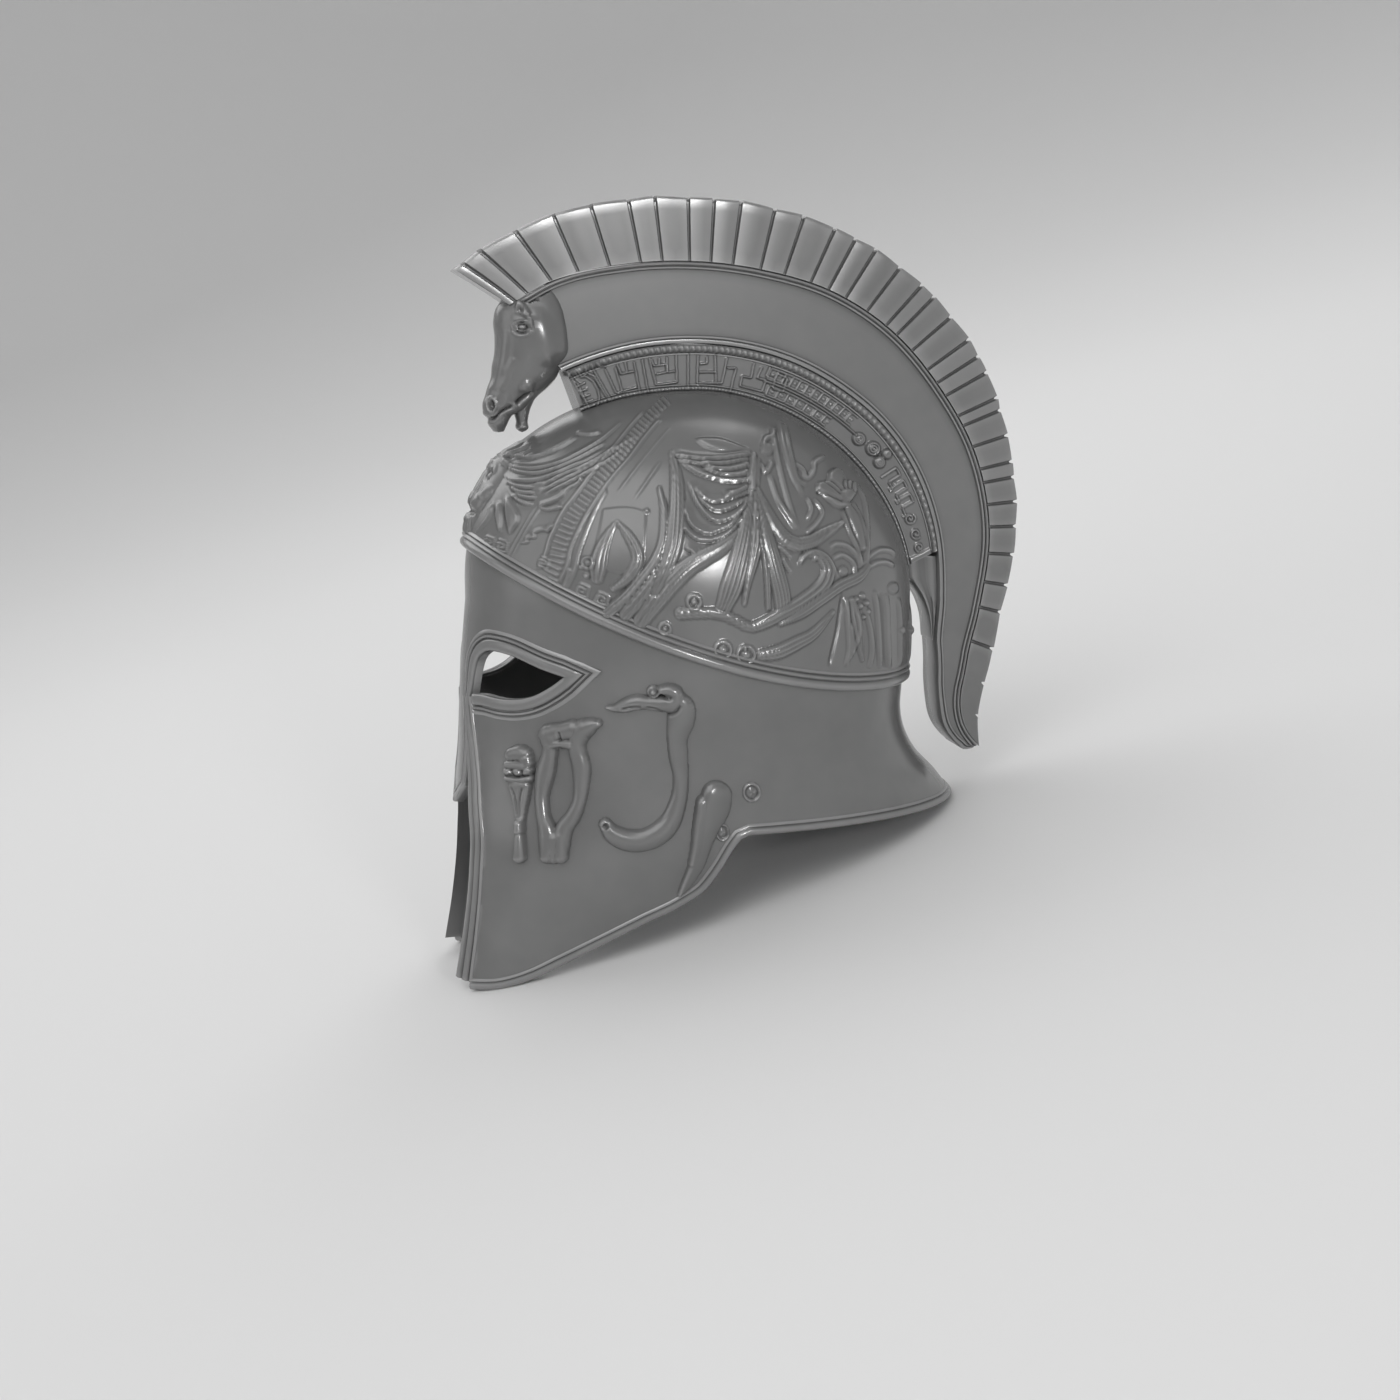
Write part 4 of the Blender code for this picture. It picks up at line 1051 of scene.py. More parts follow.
def cap_relief(places):
    """The plate's relief; widths and radii in pixels, heights and depths in metres."""
    relief = Relief(places)
    relief.draw(relief.mound, PLAQUE, height=0.0005, edge=2.6)
    relief.draw(relief.mound, UPPER_LEAF, height=0.0011, edge=4, dome=0.5)
    relief.draw(relief.mound, BEARD_PETALS, height=0.0012, edge=3.5, dome=0.4)
    relief.draw(relief.fold, SWAGS, width=9.0, height=0.0015)
    relief.draw(relief.fold, MANE_LOCKS, width=5.5, height=0.0012)
    relief.draw(relief.fold, SKIRT_FLUTES, width=5.0, height=0.0010)
    relief.draw(relief.ridge, POLES, width=3.2, height=0.0012)
    for row in BANDS.strip().splitlines():
        count, band = row.split(" ", 1)
        relief.draw(relief.strands, band, height=0.0020, count=int(count))
    relief.draw(relief.limb, LIMBS, height=0.0022)
    relief.draw(relief.mound, FLOWER, height=0.0018, edge=2.2, dome=0.3)
    relief.draw(relief.groove, FLOWER_CUTS, width=1.3, depth=0.0011, taper=0.05)
    relief.draw(relief.ridge, PILASTERS, width=2.8, height=0.0013)
    relief.draw(relief.groove, SHADOW_LINES, width=2.6, depth=0.0012)
    relief.draw(relief.ridge, TIES + SCROLL_LINES + FLOWER_STEMS + REAR_ARCHES, width=2.6, height=0.0012)
    relief.draw(relief.ridge, LADDER_SIDES, width=2.0, height=0.0008, taper=0.03)
    for rung in ladder_rungs():
        relief.ridge(rung, width=1.8, height=0.0008, taper=0.0)
    relief.draw(relief.ridge, FINE_LINES, width=1.6, height=0.0005)
    for key in strokes(KEYS)[0]:
        relief.key(key_line(key[:2], right=key[2:4], down=key[4:]), width=1.5, height=0.0007)
    for x, y, radius, ring in strokes(RINGS)[0]:
        relief.disc((x, y), radius, height=0.0010, ring=ring)
    for x, y, radius in strokes(BUTTONS)[0]:
        relief.disc((x, y), radius, height=0.0012)
    for x, y, radius in strokes(LUMPS)[0]:
        relief.disc((x, y), radius, height=0.0014)
    return relief.height


# Lion mask: height, rise of its middle and its half width, all in metres
MASK_TABLE = (
    (0.030, 0.0000, 0.0110), (0.036, 0.0010, 0.0130), (0.043, 0.0016, 0.0160), (0.048, 0.0030, 0.0175),
    (0.054, 0.0030, 0.0200), (0.060, 0.0031, 0.0205), (0.064, 0.0036, 0.0190), (0.068, 0.0038, 0.0160),
    (0.071, 0.0024, 0.0140), (0.076, 0.0006, 0.0120), (0.081, 0.0000, 0.0100),
)
# The mask lies ahead of this place along Y, and its features end at this half width over so much more
MASK_BEHIND = -0.05
MASK_SIDE = 0.026
MASK_SIDE_FADE = 0.004
# Its features in millimetres across and up: brow, nose, beard and whisker lines of the left half
MASK_BROWS = """
0,64.5 4,66.2 9,65.5 13.5,62
2.5,63.4 6,64.2 10,63.2
"""
MASK_NOSE = "0,63 0,57 0,51"
# Nose tip, muzzle, eye hollow, eye, nostril, mouth, chin and cheek: centre, radius, rise in metres, squash
MASK_FORMS = (
    ((0.0, 49.2), 4.2, 0.0013, 0.75), ((10.5, 48.6), 6.2, 0.0014, 0.72), ((8.6, 60.6), 3.8, -0.0012, 0.7),
    ((8.6, 60.6), 2.1, 0.0013, 0.75), ((2.6, 47.4), 1.2, -0.0008, 0.8), ((6.0, 44.0), 7.5, -0.0022, 0.28),
    ((0.0, 40.8), 5.0, 0.0012, 0.5), ((15.5, 53.5), 4.6, 0.0010, 0.8),
)
MASK_LOCKS = """
1.5,41.5 1.2,37.5 2.2,33.5
4.5,41.5 4.8,37 6.2,33
8,42 9,38 11,34
3,70 4,73.5 8,77
8,69 10.5,73 16,77
12,66.5 16,70.5 22,74
"""


def mask_relief(points):
    """The lion mask on the brow, worked out in its front view."""
    x, z = np.abs(points[:, 0]), points[:, 2]
    rise, half = smooth_read(MASK_TABLE, 1, z), smooth_read(MASK_TABLE, 2, z)
    here = (points[:, 1] < MASK_BEHIND) & (z > MASK_TABLE[0][0]) & (z < MASK_TABLE[-1][0])
    body = np.where(here, rise * np.clip(1 - (x / half) ** 2.4, 0, 1) ** 0.8, 0)
    relief = Relief(np.stack([x, z], -1) * 1000)
    relief.draw(relief.ridge, MASK_BROWS, width=1.5, height=0.0008)
    relief.draw(relief.ridge, MASK_NOSE, width=4.0, height=0.0010, taper=0.2)
    for form in MASK_FORMS:
        relief.disc(*form)
    relief.draw(relief.ridge, MASK_LOCKS, width=1.9, height=0.0010)
    return np.where(here, body + relief.height * np.clip((MASK_SIDE - x) / MASK_SIDE_FADE, 0, 1), 0)


# Crest, plume and holder

def crest_points(angle, radius, side):
    """Points in the crest's polar frame; angle in degrees from straight up towards the back."""
    angle = np.radians(angle)
    up = CREST_CENTRE + radius * np.cos(angle)
    return np.stack(np.broadcast_arrays(side, radius * np.sin(angle), up), -1)


def plume_edge(angle):
    return PLUME_RADIUS * smooth_read(CREST_TABLE, 1, angle)


def ridge_line(angle):
    return RIDGE_RADIUS * smooth_read(CREST_TABLE, 2, angle)


def foot_line(angle):
    return FOOT_RADIUS * smooth_read(CREST_TABLE, 3, angle)


# Rounded tail of the crest and plume: place along it, then the angle and the radius in millimetres of the
# foot line, of the ridge line and of the plume's edge
CREST_TAIL = (
    (114.0, 114.0, 139.8, 114.0, 158.6, 114.0, 172.1), (118.0, 117.9, 145.6, 117.6, 161.6, 117.7, 174.3),
    (121.0, 121.5, 151.2, 120.4, 164.2, 120.5, 177.0), (124.0, 124.6, 158.0, 122.7, 168.0, 122.6, 180.0),
    (127.0, 126.9, 165.0, 124.4, 172.8, 124.1, 183.2), (130.0, 128.05, 172.3, 125.5, 178.0, 125.2, 186.1),
    (132.5, 128.45, 179.8, 126.1, 183.2, 125.9, 188.0), (134.3, 128.2, 185.3, 126.35, 187.0, 126.3, 189.2),
    (135.0, 127.2, 188.4, 126.5, 189.2, 126.55, 189.9),
)
TAIL_END = 135.0
# Shallow notches in the outer edge of the last tile
TAIL_NOTCHES = (117.6, 124.0)


def crest_line(column, line, place):
    """Angle and radius of one of the crest's lines at places along it, round its tail as well."""
    tail = place > CREST_TAIL[0][0]
    angle = np.where(tail, smooth_read(CREST_TAIL, column, place), place)
    return angle, np.where(tail, smooth_read(CREST_TAIL, column + 1, place) / 1000, line(place))


# Side face of the crest: distance in from an edge and depth below the full thickness, in tenths of a
# millimetre
CREST_FOOT_BORDER = "0,8 4,1 12,0 20,1 23,8 26,8 29,2 37,2 42,10"
CREST_RIDGE_BORDER = "0,4 3,-6 10,-10 16,-6 18,2 21,2 24,-4 31,-3 36,10"


# The ridge border starts so many degrees behind the crest's front end
RIDGE_END_ANGLE = 1.7
# Step along the crest in degrees, rows between its borders, largest share of its height that a border takes,
# and width of the ridge border
CREST_STEP = 0.42
CREST_MIDDLE_ROWS = 6
CREST_BORDER_SHARE = 0.45
RIDGE_BORDER_WIDTH = 0.0037
# Depth of the side face between the borders, what is left of it at the tail's end, over so many degrees, and
# depth at the front end, under the horse head
PANEL_DEPTH = 0.0010
TAIL_DEPTH = 0.0001
TAIL_RUN = 1.1
FRONT_DEPTH = 0.0012


def ridge_shown(angle):
    """From 0 under the horse head to 1 where the ridge border shows in full."""
    return np.clip((angle - CREST_START) / RIDGE_END_ANGLE - 1, 0, 1)


def build_crest():
    places = np.arange(CREST_START, TAIL_END + 0.01, CREST_STEP)[:, None]
    foot_angle, low = crest_line(1, foot_line, places)
    ridge_angle, high = crest_line(3, ridge_line, places)
    high = high - GAP
    width = np.hypot(high - low, np.radians(foot_angle - ridge_angle) * high)
    rows_low, rows_high = section(CREST_FOOT_BORDER), section(CREST_RIDGE_BORDER)[::-1]
    inner = np.minimum(rows_low[:, 0], CREST_BORDER_SHARE * width)
    outer = width - np.minimum(rows_high[:, 0], CREST_BORDER_SHARE * width)
    middle = np.linspace(0, 1, CREST_MIDDLE_ROWS + 2)[1:-1] * width
    middle = np.clip(middle, inner[:, -1:] + 1e-5, width - RIDGE_BORDER_WIDTH)
    share = np.maximum.accumulate(np.concatenate([inner, middle, outer], axis=1), axis=1) / width
    radius = low + (high - low) * share
    angles = foot_angle + (ridge_angle - foot_angle) * share
    depth = np.concatenate([rows_low[:, 1], np.full(CREST_MIDDLE_ROWS, PANEL_DEPTH), rows_high[:, 1]])
    end = np.clip((TAIL_END - places) / TAIL_RUN, 0, 1)
    depth = np.where(depth == PANEL_DEPTH, TAIL_DEPTH + (PANEL_DEPTH - TAIL_DEPTH) * end, depth)
    shown = ridge_shown(places)
    ridge_rows = np.arange(depth.shape[1]) >= depth.shape[1] - len(rows_high)
    depth = np.where(ridge_rows, depth * shown + FRONT_DEPTH * (1 - shown), depth)
    return mirrored_tube("crest_fin", crest_points(angles, radius, CREST_THICKNESS / 2 - depth), 50.0)


# The first groove parts the plain strip at the front rim from the first tile
RIM_STRIP_ANGLE = -37.4
GROOVE_HALF = 0.0010
GROOVE_DEPTH = 0.0013
NOTCH_DEPTH = 0.0013
TAIL_NOTCH_DEPTH = 0.0016
# How far a groove's floor and a tail notch reach to each side, as shares of half the groove
GROOVE_FLOOR = 0.35
NOTCH_FLOOR = 0.3
# Steps along a tile in degrees; how far a tile's outer end slants and its side swells, from tile to tile
TILE_STEP = 1.1
TILE_SLANT = 0.0009
TILE_SWELL = (0.00014, 0.0001)
# Rows of a tile from the ridge to its outer edge: share of its height, and how far its edge is rounded off
TILE_ROWS = (
    (0.0, 0.0), (0.03, 0.0), (0.2, 0.0), (0.4, 0.0), (0.6, 0.0), (0.8, 0.0), (0.945, 0.0), (0.972, 0.0001),
    (0.99, 0.0004), (1.0, 0.0011),
)
# The plume leans forward at its tip, over so many degrees
PLUME_LEAN_ANGLE = 14


def plume_rings(half):
    """Place, bulge, slant and notch of each ring of the plume; half is half a groove in degrees."""
    bounds = [CREST_START, RIM_STRIP_ANGLE, *GROOVE_ANGLES, TAIL_END]
    rings = []
    for number, (start, stop) in enumerate(zip(bounds, bounds[1:])):
        first, last = number == 0, number == len(bounds) - 2
        a = start if first else start + half
        b = stop if last else stop - half
        slant = 0.0 if first or last else TILE_SLANT * sin(2.4 * number)
        swell = TILE_SWELL[0] + TILE_SWELL[1] * sin(5.1 * number)
        for share in np.linspace(0, 1, max(int((b - a) / TILE_STEP), 2) + 1):
            rings.append((a + (b - a) * share, swell * sin(pi * share), slant * (share - 0.5), 0.0))
        if not last:
            for shift in (-GROOVE_FLOOR, GROOVE_FLOOR):
                rings.append((stop + shift * half, -GROOVE_DEPTH, 0.0, NOTCH_DEPTH))
    notch = ((-1, 0.0), (-NOTCH_FLOOR, TAIL_NOTCH_DEPTH), (NOTCH_FLOOR, TAIL_NOTCH_DEPTH), (1, 0.0))
    for place in TAIL_NOTCHES:
        rings = [ring for ring in rings if abs(ring[0] - place) > half]
        rings += [(place + shift * half, 0.0, 0.0, depth) for shift, depth in notch]
    return (np.array(column)[:, None] for column in zip(*sorted(rings)))


def build_plume():
    """Tiles with a groove between each two, each with a slightly slanted outer end."""
    places, bulge, slant, notch = plume_rings(degrees(GROOVE_HALF / PLUME_RADIUS))
    low_angle, low = crest_line(3, ridge_line, places)
    high_angle, high = crest_line(5, plume_edge, places)
    low = low + GAP
    high = np.maximum(high - notch + slant, low + GAP)
    lean = (CREST_TIP_ANGLE - CREST_START) * np.clip(1 - (places - CREST_START) / PLUME_LEAN_ANGLE, 0, 1)
    share, rounding = np.array(TILE_ROWS).T
    side = CREST_THICKNESS / 2 + bulge - rounding
    angles = low_angle + (high_angle - low_angle + lean) * share
    return mirrored_tube("crest_plume_tiles", crest_points(angles, low + (high - low) * share, side), 32.0)


# Radii between which the plate is looked for under the crest, as shares of FOOT_RADIUS
REACH_LIMITS = (0.3, 1.6)
REACH_HALVINGS = 40


def cap_reach(angle, side):
    """Distance from the crest's centre to the cap's plate, in the plane at a distance to the side."""
    rise = CAP_WALL + 2 * GAP
    scale = CROWN_RISE / (CROWN_RISE + rise)
    low, high = (np.full(np.shape(angle), limit * FOOT_RADIUS) for limit in REACH_LIMITS)
    for _ in range(REACH_HALVINGS):
        middle = (low + high) / 2
        point = crest_points(angle, middle, 0.0)
        y, z = point[..., 1] * scale, point[..., 2] * scale
        half = np.where(z < CROWN_RISE, wall_side(y, z) + rise, 0.0)
        within = half > np.maximum(side, rise)
        low, high = np.where(within, middle, low), np.where(within, high, middle)
    return high


HOLDER_COLUMNS = 560
HOLDER_PANEL_ROWS = 52
# Side face of the holder from its foot to its top: share of its height, rise over its half width, in metres
HOLDER_FACE = (
    (0.0, 0.0000), (0.015, 0.0008), (0.035, 0.0013), (0.055, 0.0013), (0.075, 0.0009), (0.09, 0.0000),
    (0.10, 0.0000), (0.11, 0.0007), (0.125, 0.0007), (0.135, 0.0000),
)
HOLDER_TOP = (
    (0.772, 0.0000), (0.78, 0.0008), (0.805, 0.0008), (0.815, 0.0000), (0.83, 0.0001), (0.85, 0.0006),
    (0.88, 0.0010), (0.91, 0.0012), (0.94, 0.0011), (0.965, 0.0007), (0.985, 0.0001), (1.0, -0.0010),
)
HOLDER_BEADS = 108
HOLDER_LEAVES = 74

# Meander of the holder's front half, line by line
MEANDER = """
567,371 570,376 592,412
574,380.7 578,384 587,404 590,411
577,386.5 585,382.5
579.6,391.5 587.6,388.5
582.2,397 590.2,394.5
585,402.5 593,399.5
587.5,407.5 595,403.8
580,377 586,376.5 593,381 598,390 599.5,398 597,406 591,411
586.5,372.5 594,376 606,396 611,404
568,374 574,370.5 578,377
574.5,368 582,377 587,373 584,367
590,364 612,402
595,362 600,367 606,366
605,369 616,393 637,387
615,367 622,391
617,364 621,374 634,371
625,362 627,372
634,362 640,394
642,359 648,392
649,358 656,385 677,382 676,355
651,359 654,366 666,364 667,372 656,374
659,358 659,365
667,357 667,372 675,371
688,354 688,390
698,355 697,383 722,383 727,358
699,372 716,372
715,355 716,382
700,364 707,363 707,356
727,368 736,368 730,392
754,363 751,378 742,376 740,386 764,392
762,367 757,378 766,380 762,391
770,367 766,376 775,380 772,388 783,392 787,378 778,374
"""
# Rows of small squares of the rear half: start and end along the holder, pitch, foot and top across its panel
SQUARE_ROWS = (
    (0.475, 0.700, 0.0190, 0.50, 0.74), (0.490, 0.660, 0.0260, 0.17, 0.38),
    (0.47, 0.725, 0.255, 0.44, 0.44),
)
HOLDER_ROSETTES = ((0.735, 0.42, 5.6), (0.770, 0.50, 6.4), (0.800, 0.42, 5.0), (0.795, 0.66, 4.0))
HOLDER_SCROLLS = ((0.925, 0.42, 6.0), (0.955, 0.45, 5.6), (0.980, 0.45, 4.6))
REAR_KEY = ((0.0, 0.25), (0.0, 0.66), (0.016, 0.66), (0.016, 0.34), (0.032, 0.34), (0.032, 0.25))


def holder_relief(places, foot, top):
    """Meander, rosettes and scrolls; foot and top are the panel's edges in the picture, column by column."""
    share = np.linspace(0, 1, len(foot))

    def panel(s, t):
        low = np.array([np.interp(s, share, foot[:, k]) for k in (0, 1)])
        high = np.array([np.interp(s, share, top[:, k]) for k in (0, 1)])
        return low + (high - low) * t

    relief = Relief(places)
    relief.draw(relief.key, MEANDER, width=1.4, height=0.0009)
    for start, stop, pitch, low, high in SQUARE_ROWS:
        for level in (low, high):
            relief.key([panel(s, level) for s in np.linspace(start, stop, 9)], 1.5, 0.0007)
        for s in np.arange(start, stop + 0.001, pitch):
            relief.key([panel(s, low), panel(s, high)], 1.4, 0.0007)
            relief.disc(panel(s + pitch / 2, (low + high) / 2), 1.8, 0.0005)
    for number in range(3):
        relief.key([panel(0.828 + 0.028 * number + s, t) for s, t in REAR_KEY], 1.5, 0.0008)
    for s, t, radius in HOLDER_ROSETTES:
        centre = panel(s, t)
        relief.disc(centre, radius + 1.5, 0.0014)
        for ring in (0.9, 0.5):
            relief.disc(centre, radius * ring, 0.0007, ring=1.3)
        relief.disc(centre, 1.6, 0.0006)
    for s, t, radius in HOLDER_SCROLLS:
        relief.spiral(panel(s, t), radius, 1.6, 1.4, 0.0009, start=40 * s)
        relief.disc(panel(s, t), 1.6, 0.0007)
    return relief.height


# Rows of HOLDER_FACE that its beads cut into and of HOLDER_TOP that its leaves do, and the leaves' rise
BEAD_ROWS = 6
LEAF_ROWS = 8
LEAF_RISE = 0.0004
# The plain strip at each end: its share of the holder's length, how it fades, its rise, and where it runs
END_STRIP = 0.011
END_STRIP_FADE = 0.003
END_STRIP_RISE = 0.0007
END_STRIP_SPAN = (0.12, 0.8)
# How far the holder's foot sinks into the plate
HOLDER_SINK = 0.0006


def holder_edge(share):
    """Foot and top of the holder's left side, on its half width."""
    foot_angle, top_angle = (a + (b - a) * share for a, b in (HOLDER_FOOT_ENDS, HOLDER_TOP_ENDS))
    half = HOLDER_WIDTH / 2
    low = crest_points(foot_angle, cap_reach(foot_angle, half) - HOLDER_SINK, half)
    return low, crest_points(top_angle, foot_line(top_angle) - GAP, half)


def build_holder():
    share = np.linspace(0, 1, HOLDER_COLUMNS)
    low, high = holder_edge(share)
    panel = [(s, 0.0) for s in np.linspace(0.14, 0.768, HOLDER_PANEL_ROWS)]
    face = np.array([*HOLDER_FACE, *panel, *HOLDER_TOP])
    points = low[:, None] + (high - low)[:, None] * face[None, :, :1]
    rise = np.broadcast_to(face[:, 1], points.shape[:2]).copy()
    rise[:, :BEAD_ROWS] *= 0.62 + 0.38 * np.abs(np.sin(pi * HOLDER_BEADS * share))[:, None]
    level, height = face[-LEAF_ROWS:].T
    leaves = np.sin(2 * pi * HOLDER_LEAVES * share[:, None] + 9 * level)
    rise[:, -LEAF_ROWS:] += LEAF_RISE * leaves * (height > 0.0005)
    flat = in_photo(points.reshape(-1, 3))
    rise += holder_relief(flat, in_photo(low), in_photo(high)).reshape(rise.shape)
    strip = np.clip((END_STRIP - np.minimum(share, 1 - share)) / END_STRIP_FADE, 0, 1)
    within = (face[:, 0] > END_STRIP_SPAN[0]) & (face[:, 0] < END_STRIP_SPAN[1])
    rise += strip[:, None] * END_STRIP_RISE * within
    points[..., 0] += rise
    return mirrored_tube("crest_holder_box", points, 50.0)


# Section of the spur: share of its depth and of its half width
SPUR_SECTION = (
    (0.0, 0.86), (0.12, 1.0), (0.3, 1.0), (0.4, 0.93), (0.6, 0.93), (0.7, 1.0), (0.88, 1.0), (1.0, 0.94),
)
# How far under the holder's rear end the spur starts, in degrees
SPUR_OVERLAP = 3.5


def build_spur():
    """The tapering strip that follows the inside of the crest below the holder."""
    angle = np.linspace(SPUR_TABLE[0][0] - SPUR_OVERLAP, SPUR_TABLE[-1][0], 60)
    top = foot_line(angle) - GAP
    foot = np.maximum(top - smooth_read(SPUR_TABLE, 1, angle) * SPUR_DEPTH, cap_reach(angle, 0.0) + GAP)
    level, half = np.array(SPUR_SECTION).T
    radius = foot[:, None] + (top - foot)[:, None] * level
    left = crest_points(angle[:, None], radius, SPUR_WIDTH / 2 * half)
    return mirrored_tube("crest_holder_spur", left, 40.0)


# Horse head

HEAD_POLL_RISE = 0.0081
HEAD_REACH = 0.0127
HEAD_LENGTH = 0.0685
HEAD_DEPTH = 0.0405
HEAD_HALF_WIDTH = 0.018
HEAD_ROWS = 150
HEAD_SIDES = 108
# drop / HEAD_LENGTH, front edge and rear edge / HEAD_DEPTH, half width / HEAD_HALF_WIDTH, front and rear
# squareness
HEAD_TABLE = (
    (-0.065, 0.50, 0.79, 0.56, 2.0, 3.0), (0.000, 0.42, 0.87, 0.70, 2.0, 3.2),
    (0.050, 0.31, 0.92, 0.80, 2.0, 3.2), (0.120, 0.20, 0.97, 0.88, 2.1, 3.4),
    (0.220, 0.15, 1.01, 0.94, 2.2, 3.4), (0.340, 0.16, 1.04, 0.98, 2.2, 3.2),
    (0.460, 0.15, 1.04, 0.95, 2.1, 3.0), (0.540, 0.12, 0.95, 0.88, 2.0, 2.8),
    (0.630, 0.10, 0.88, 0.78, 2.0, 2.6), (0.690, 0.06, 0.79, 0.68, 2.1, 2.5),
    (0.750, 0.03, 0.67, 0.58, 2.2, 2.4), (0.800, 0.00, 0.59, 0.53, 2.3, 2.4),
    (0.850, 0.00, 0.50, 0.50, 2.4, 2.4), (0.885, 0.01, 0.36, 0.48, 2.4, 2.4),
    (0.905, 0.05, 0.33, 0.46, 2.3, 2.4), (0.950, 0.06, 0.29, 0.42, 2.2, 2.4),
    (1.000, 0.12, 0.25, 0.28, 2.0, 2.2),
)
PRONG_TABLE = (
    (0.760, 0.38, 0.64, 0.40, 2.0, 2.2), (0.850, 0.37, 0.57, 0.33, 2.0, 2.4),
    (0.930, 0.40, 0.54, 0.28, 2.0, 2.4), (0.990, 0.41, 0.53, 0.25, 2.4, 2.6),
    (1.000, 0.43, 0.51, 0.14, 2.4, 2.4),
)
HEAD_LINES = """
515,358 509,369 506,380 497,392
505,330 504,350 501,370 495,390
"""
HEAD_EAR = "520,299 524,303 528,309 531,315 534,325 531,329 528,321 524,316 516,314 515,308 517,302"
HEAD_MOUTH = "488,419 495,418 502,411 513,406"
HEAD_JAW_SLIT = "516,404 522,399 530,394 535,394"
# Cheek, jaw and muzzle: centre, long and short half axes, tilt, then rise in metres, edge and dome
HEAD_BULGES = (
    (((543, 338), 19, 34, -14), 0.0012, 16, 0.5), (((527, 386), 9, 9, 20), 0.0011, 6, 0.4),
    (((501, 400), 11, 13, 20), 0.0006, 7, 0.4),
)
# Eye hollow, brow, eyeball and lid, then ear hollow, then nostril and its rim: centre, radius, rise, squash
# and ring
HEAD_EYE = (
    ((521.6, 327.6), 8.6, -0.0012, 0.86), ((521.6, 328.0), 8.8, 0.0010, 0.84, 2.2),
    ((522.2, 327.0), 4.4, 0.0024, 0.66), ((522.2, 327.0), 6.0, 0.0010, 0.66, 1.3),
)
HEAD_EAR_HOLLOW = ((520.5, 310.5), 3.6, -0.0022, 1.2)
HEAD_NOSTRIL = (((491.8, 405.2), 3.2, -0.0020, 1.7), ((491.8, 404.6), 4.4, 0.0008, 1.6, 1.6))
# The prong is the lower jaw, which stands free behind the slit
PRONG_ROWS = 40


def head_block(table, rows):
    """Rings of the head from poll to chin; points run from the front mid-plane round the left side."""
    drop = np.linspace(table[0][0], table[-1][0], rows)
    columns = (smooth_read(table, column, drop)[:, None] for column in range(1, 6))
    front, rear, width, square_front, square_rear = columns
    start = crest_points(CREST_START, ridge_line(CREST_START), 0.0)
    turn = np.linspace(0, 2 * pi, HEAD_SIDES, endpoint=False)[None, :]
    power = np.where(np.cos(turn) > 0, square_front, square_rear)
    middle = start[1] - HEAD_REACH + HEAD_DEPTH * (front + rear) / 2
    y = middle - HEAD_DEPTH * (rear - front) / 2 * bend(np.cos(turn), power)
    x = HEAD_HALF_WIDTH * width * bend(np.sin(turn), power)
    z = start[2] + HEAD_POLL_RISE - HEAD_LENGTH * drop[:, None]
    return np.stack(np.broadcast_arrays(x, y, z), -1)


def head_relief(places):
    relief = Relief(places)
    for outline, height, edge, dome in HEAD_BULGES:
        relief.mound(oval(*outline), height, edge, dome)
    for form in HEAD_EYE:
        relief.disc(*form)
    relief.draw(relief.mound, HEAD_EAR, height=0.0018, edge=2.4, dome=0.2)
    relief.disc(*HEAD_EAR_HOLLOW)
    relief.draw(relief.ridge, HEAD_LINES, width=5.0, height=0.0008, taper=0.3)
    for form in HEAD_NOSTRIL:
        relief.disc(*form)
    relief.draw(relief.groove, HEAD_MOUTH, width=1.7, depth=0.0016)
    relief.draw(relief.groove, HEAD_JAW_SLIT, width=2.4, depth=0.0030)
    return relief.height


def build_head():
    builder = Builder()
    for table, rows in ((HEAD_TABLE, HEAD_ROWS), (PRONG_TABLE, PRONG_ROWS)):
        block = head_block(table, rows)
        if table is HEAD_TABLE:
            across = np.roll(block, -1, axis=1) - np.roll(block, 1, axis=1)
            normal = unit(np.cross(np.gradient(block, axis=0), across))
            left = block.copy()
            left[..., 0] = np.abs(left[..., 0])
            lift = head_relief(in_photo(left.reshape(-1, 3))).reshape(block.shape[:2])
            facing = np.clip((np.abs(normal[..., 0]) - 0.15) / 0.3, 0, 1)
            block = block + normal * (lift * facing)[..., None]
            tuck_under_plume(block)
        index = builder.grid(block, close_columns=True)
        builder.fan(index[0, :-1], block[0].mean(axis=0))
        builder.fan(index[-1, :-1], block[-1].mean(axis=0) - (0, 0, 0.0006))
    return builder.done("horse_head_cast", 50.0)


def tuck_under_plume(block):
    """Keep the head's top within the crest where the ridge line and the plume cover it."""
    y, z = block[..., 1], block[..., 2] - CREST_CENTRE
    angle = np.degrees(np.arctan2(y, z))
    over = np.hypot(y, z) - (ridge_line(angle) + 0.0003 - 0.0043 * ridge_shown(angle))
    limit = CREST_THICKNESS / 2 - 0.0012
    hide = (angle > CREST_START - 3) & (over > 0)
    block[..., 0] = np.where(hide, np.clip(block[..., 0], -limit, limit), block[..., 0])


def picture_to_side(px, py, x):
    """Y and Z of the place in the plane at x that shows at a picture pixel."""
    across, down = px - PHOTO_SIZE / 2, py - PHOTO_SIZE / 2
    ray = (PICTURE_RIGHT * across - PICTURE_UP * down) / FOCAL_PIXELS - TOWARDS_CAMERA
    reach = (x - CAMERA_PLACE[0]) / ray[0]
    return (CAMERA_PLACE + reach * ray)[1:]


# Ornaments on the cheeks: round-backed limbs in the photograph's pixels, as x, y, half width

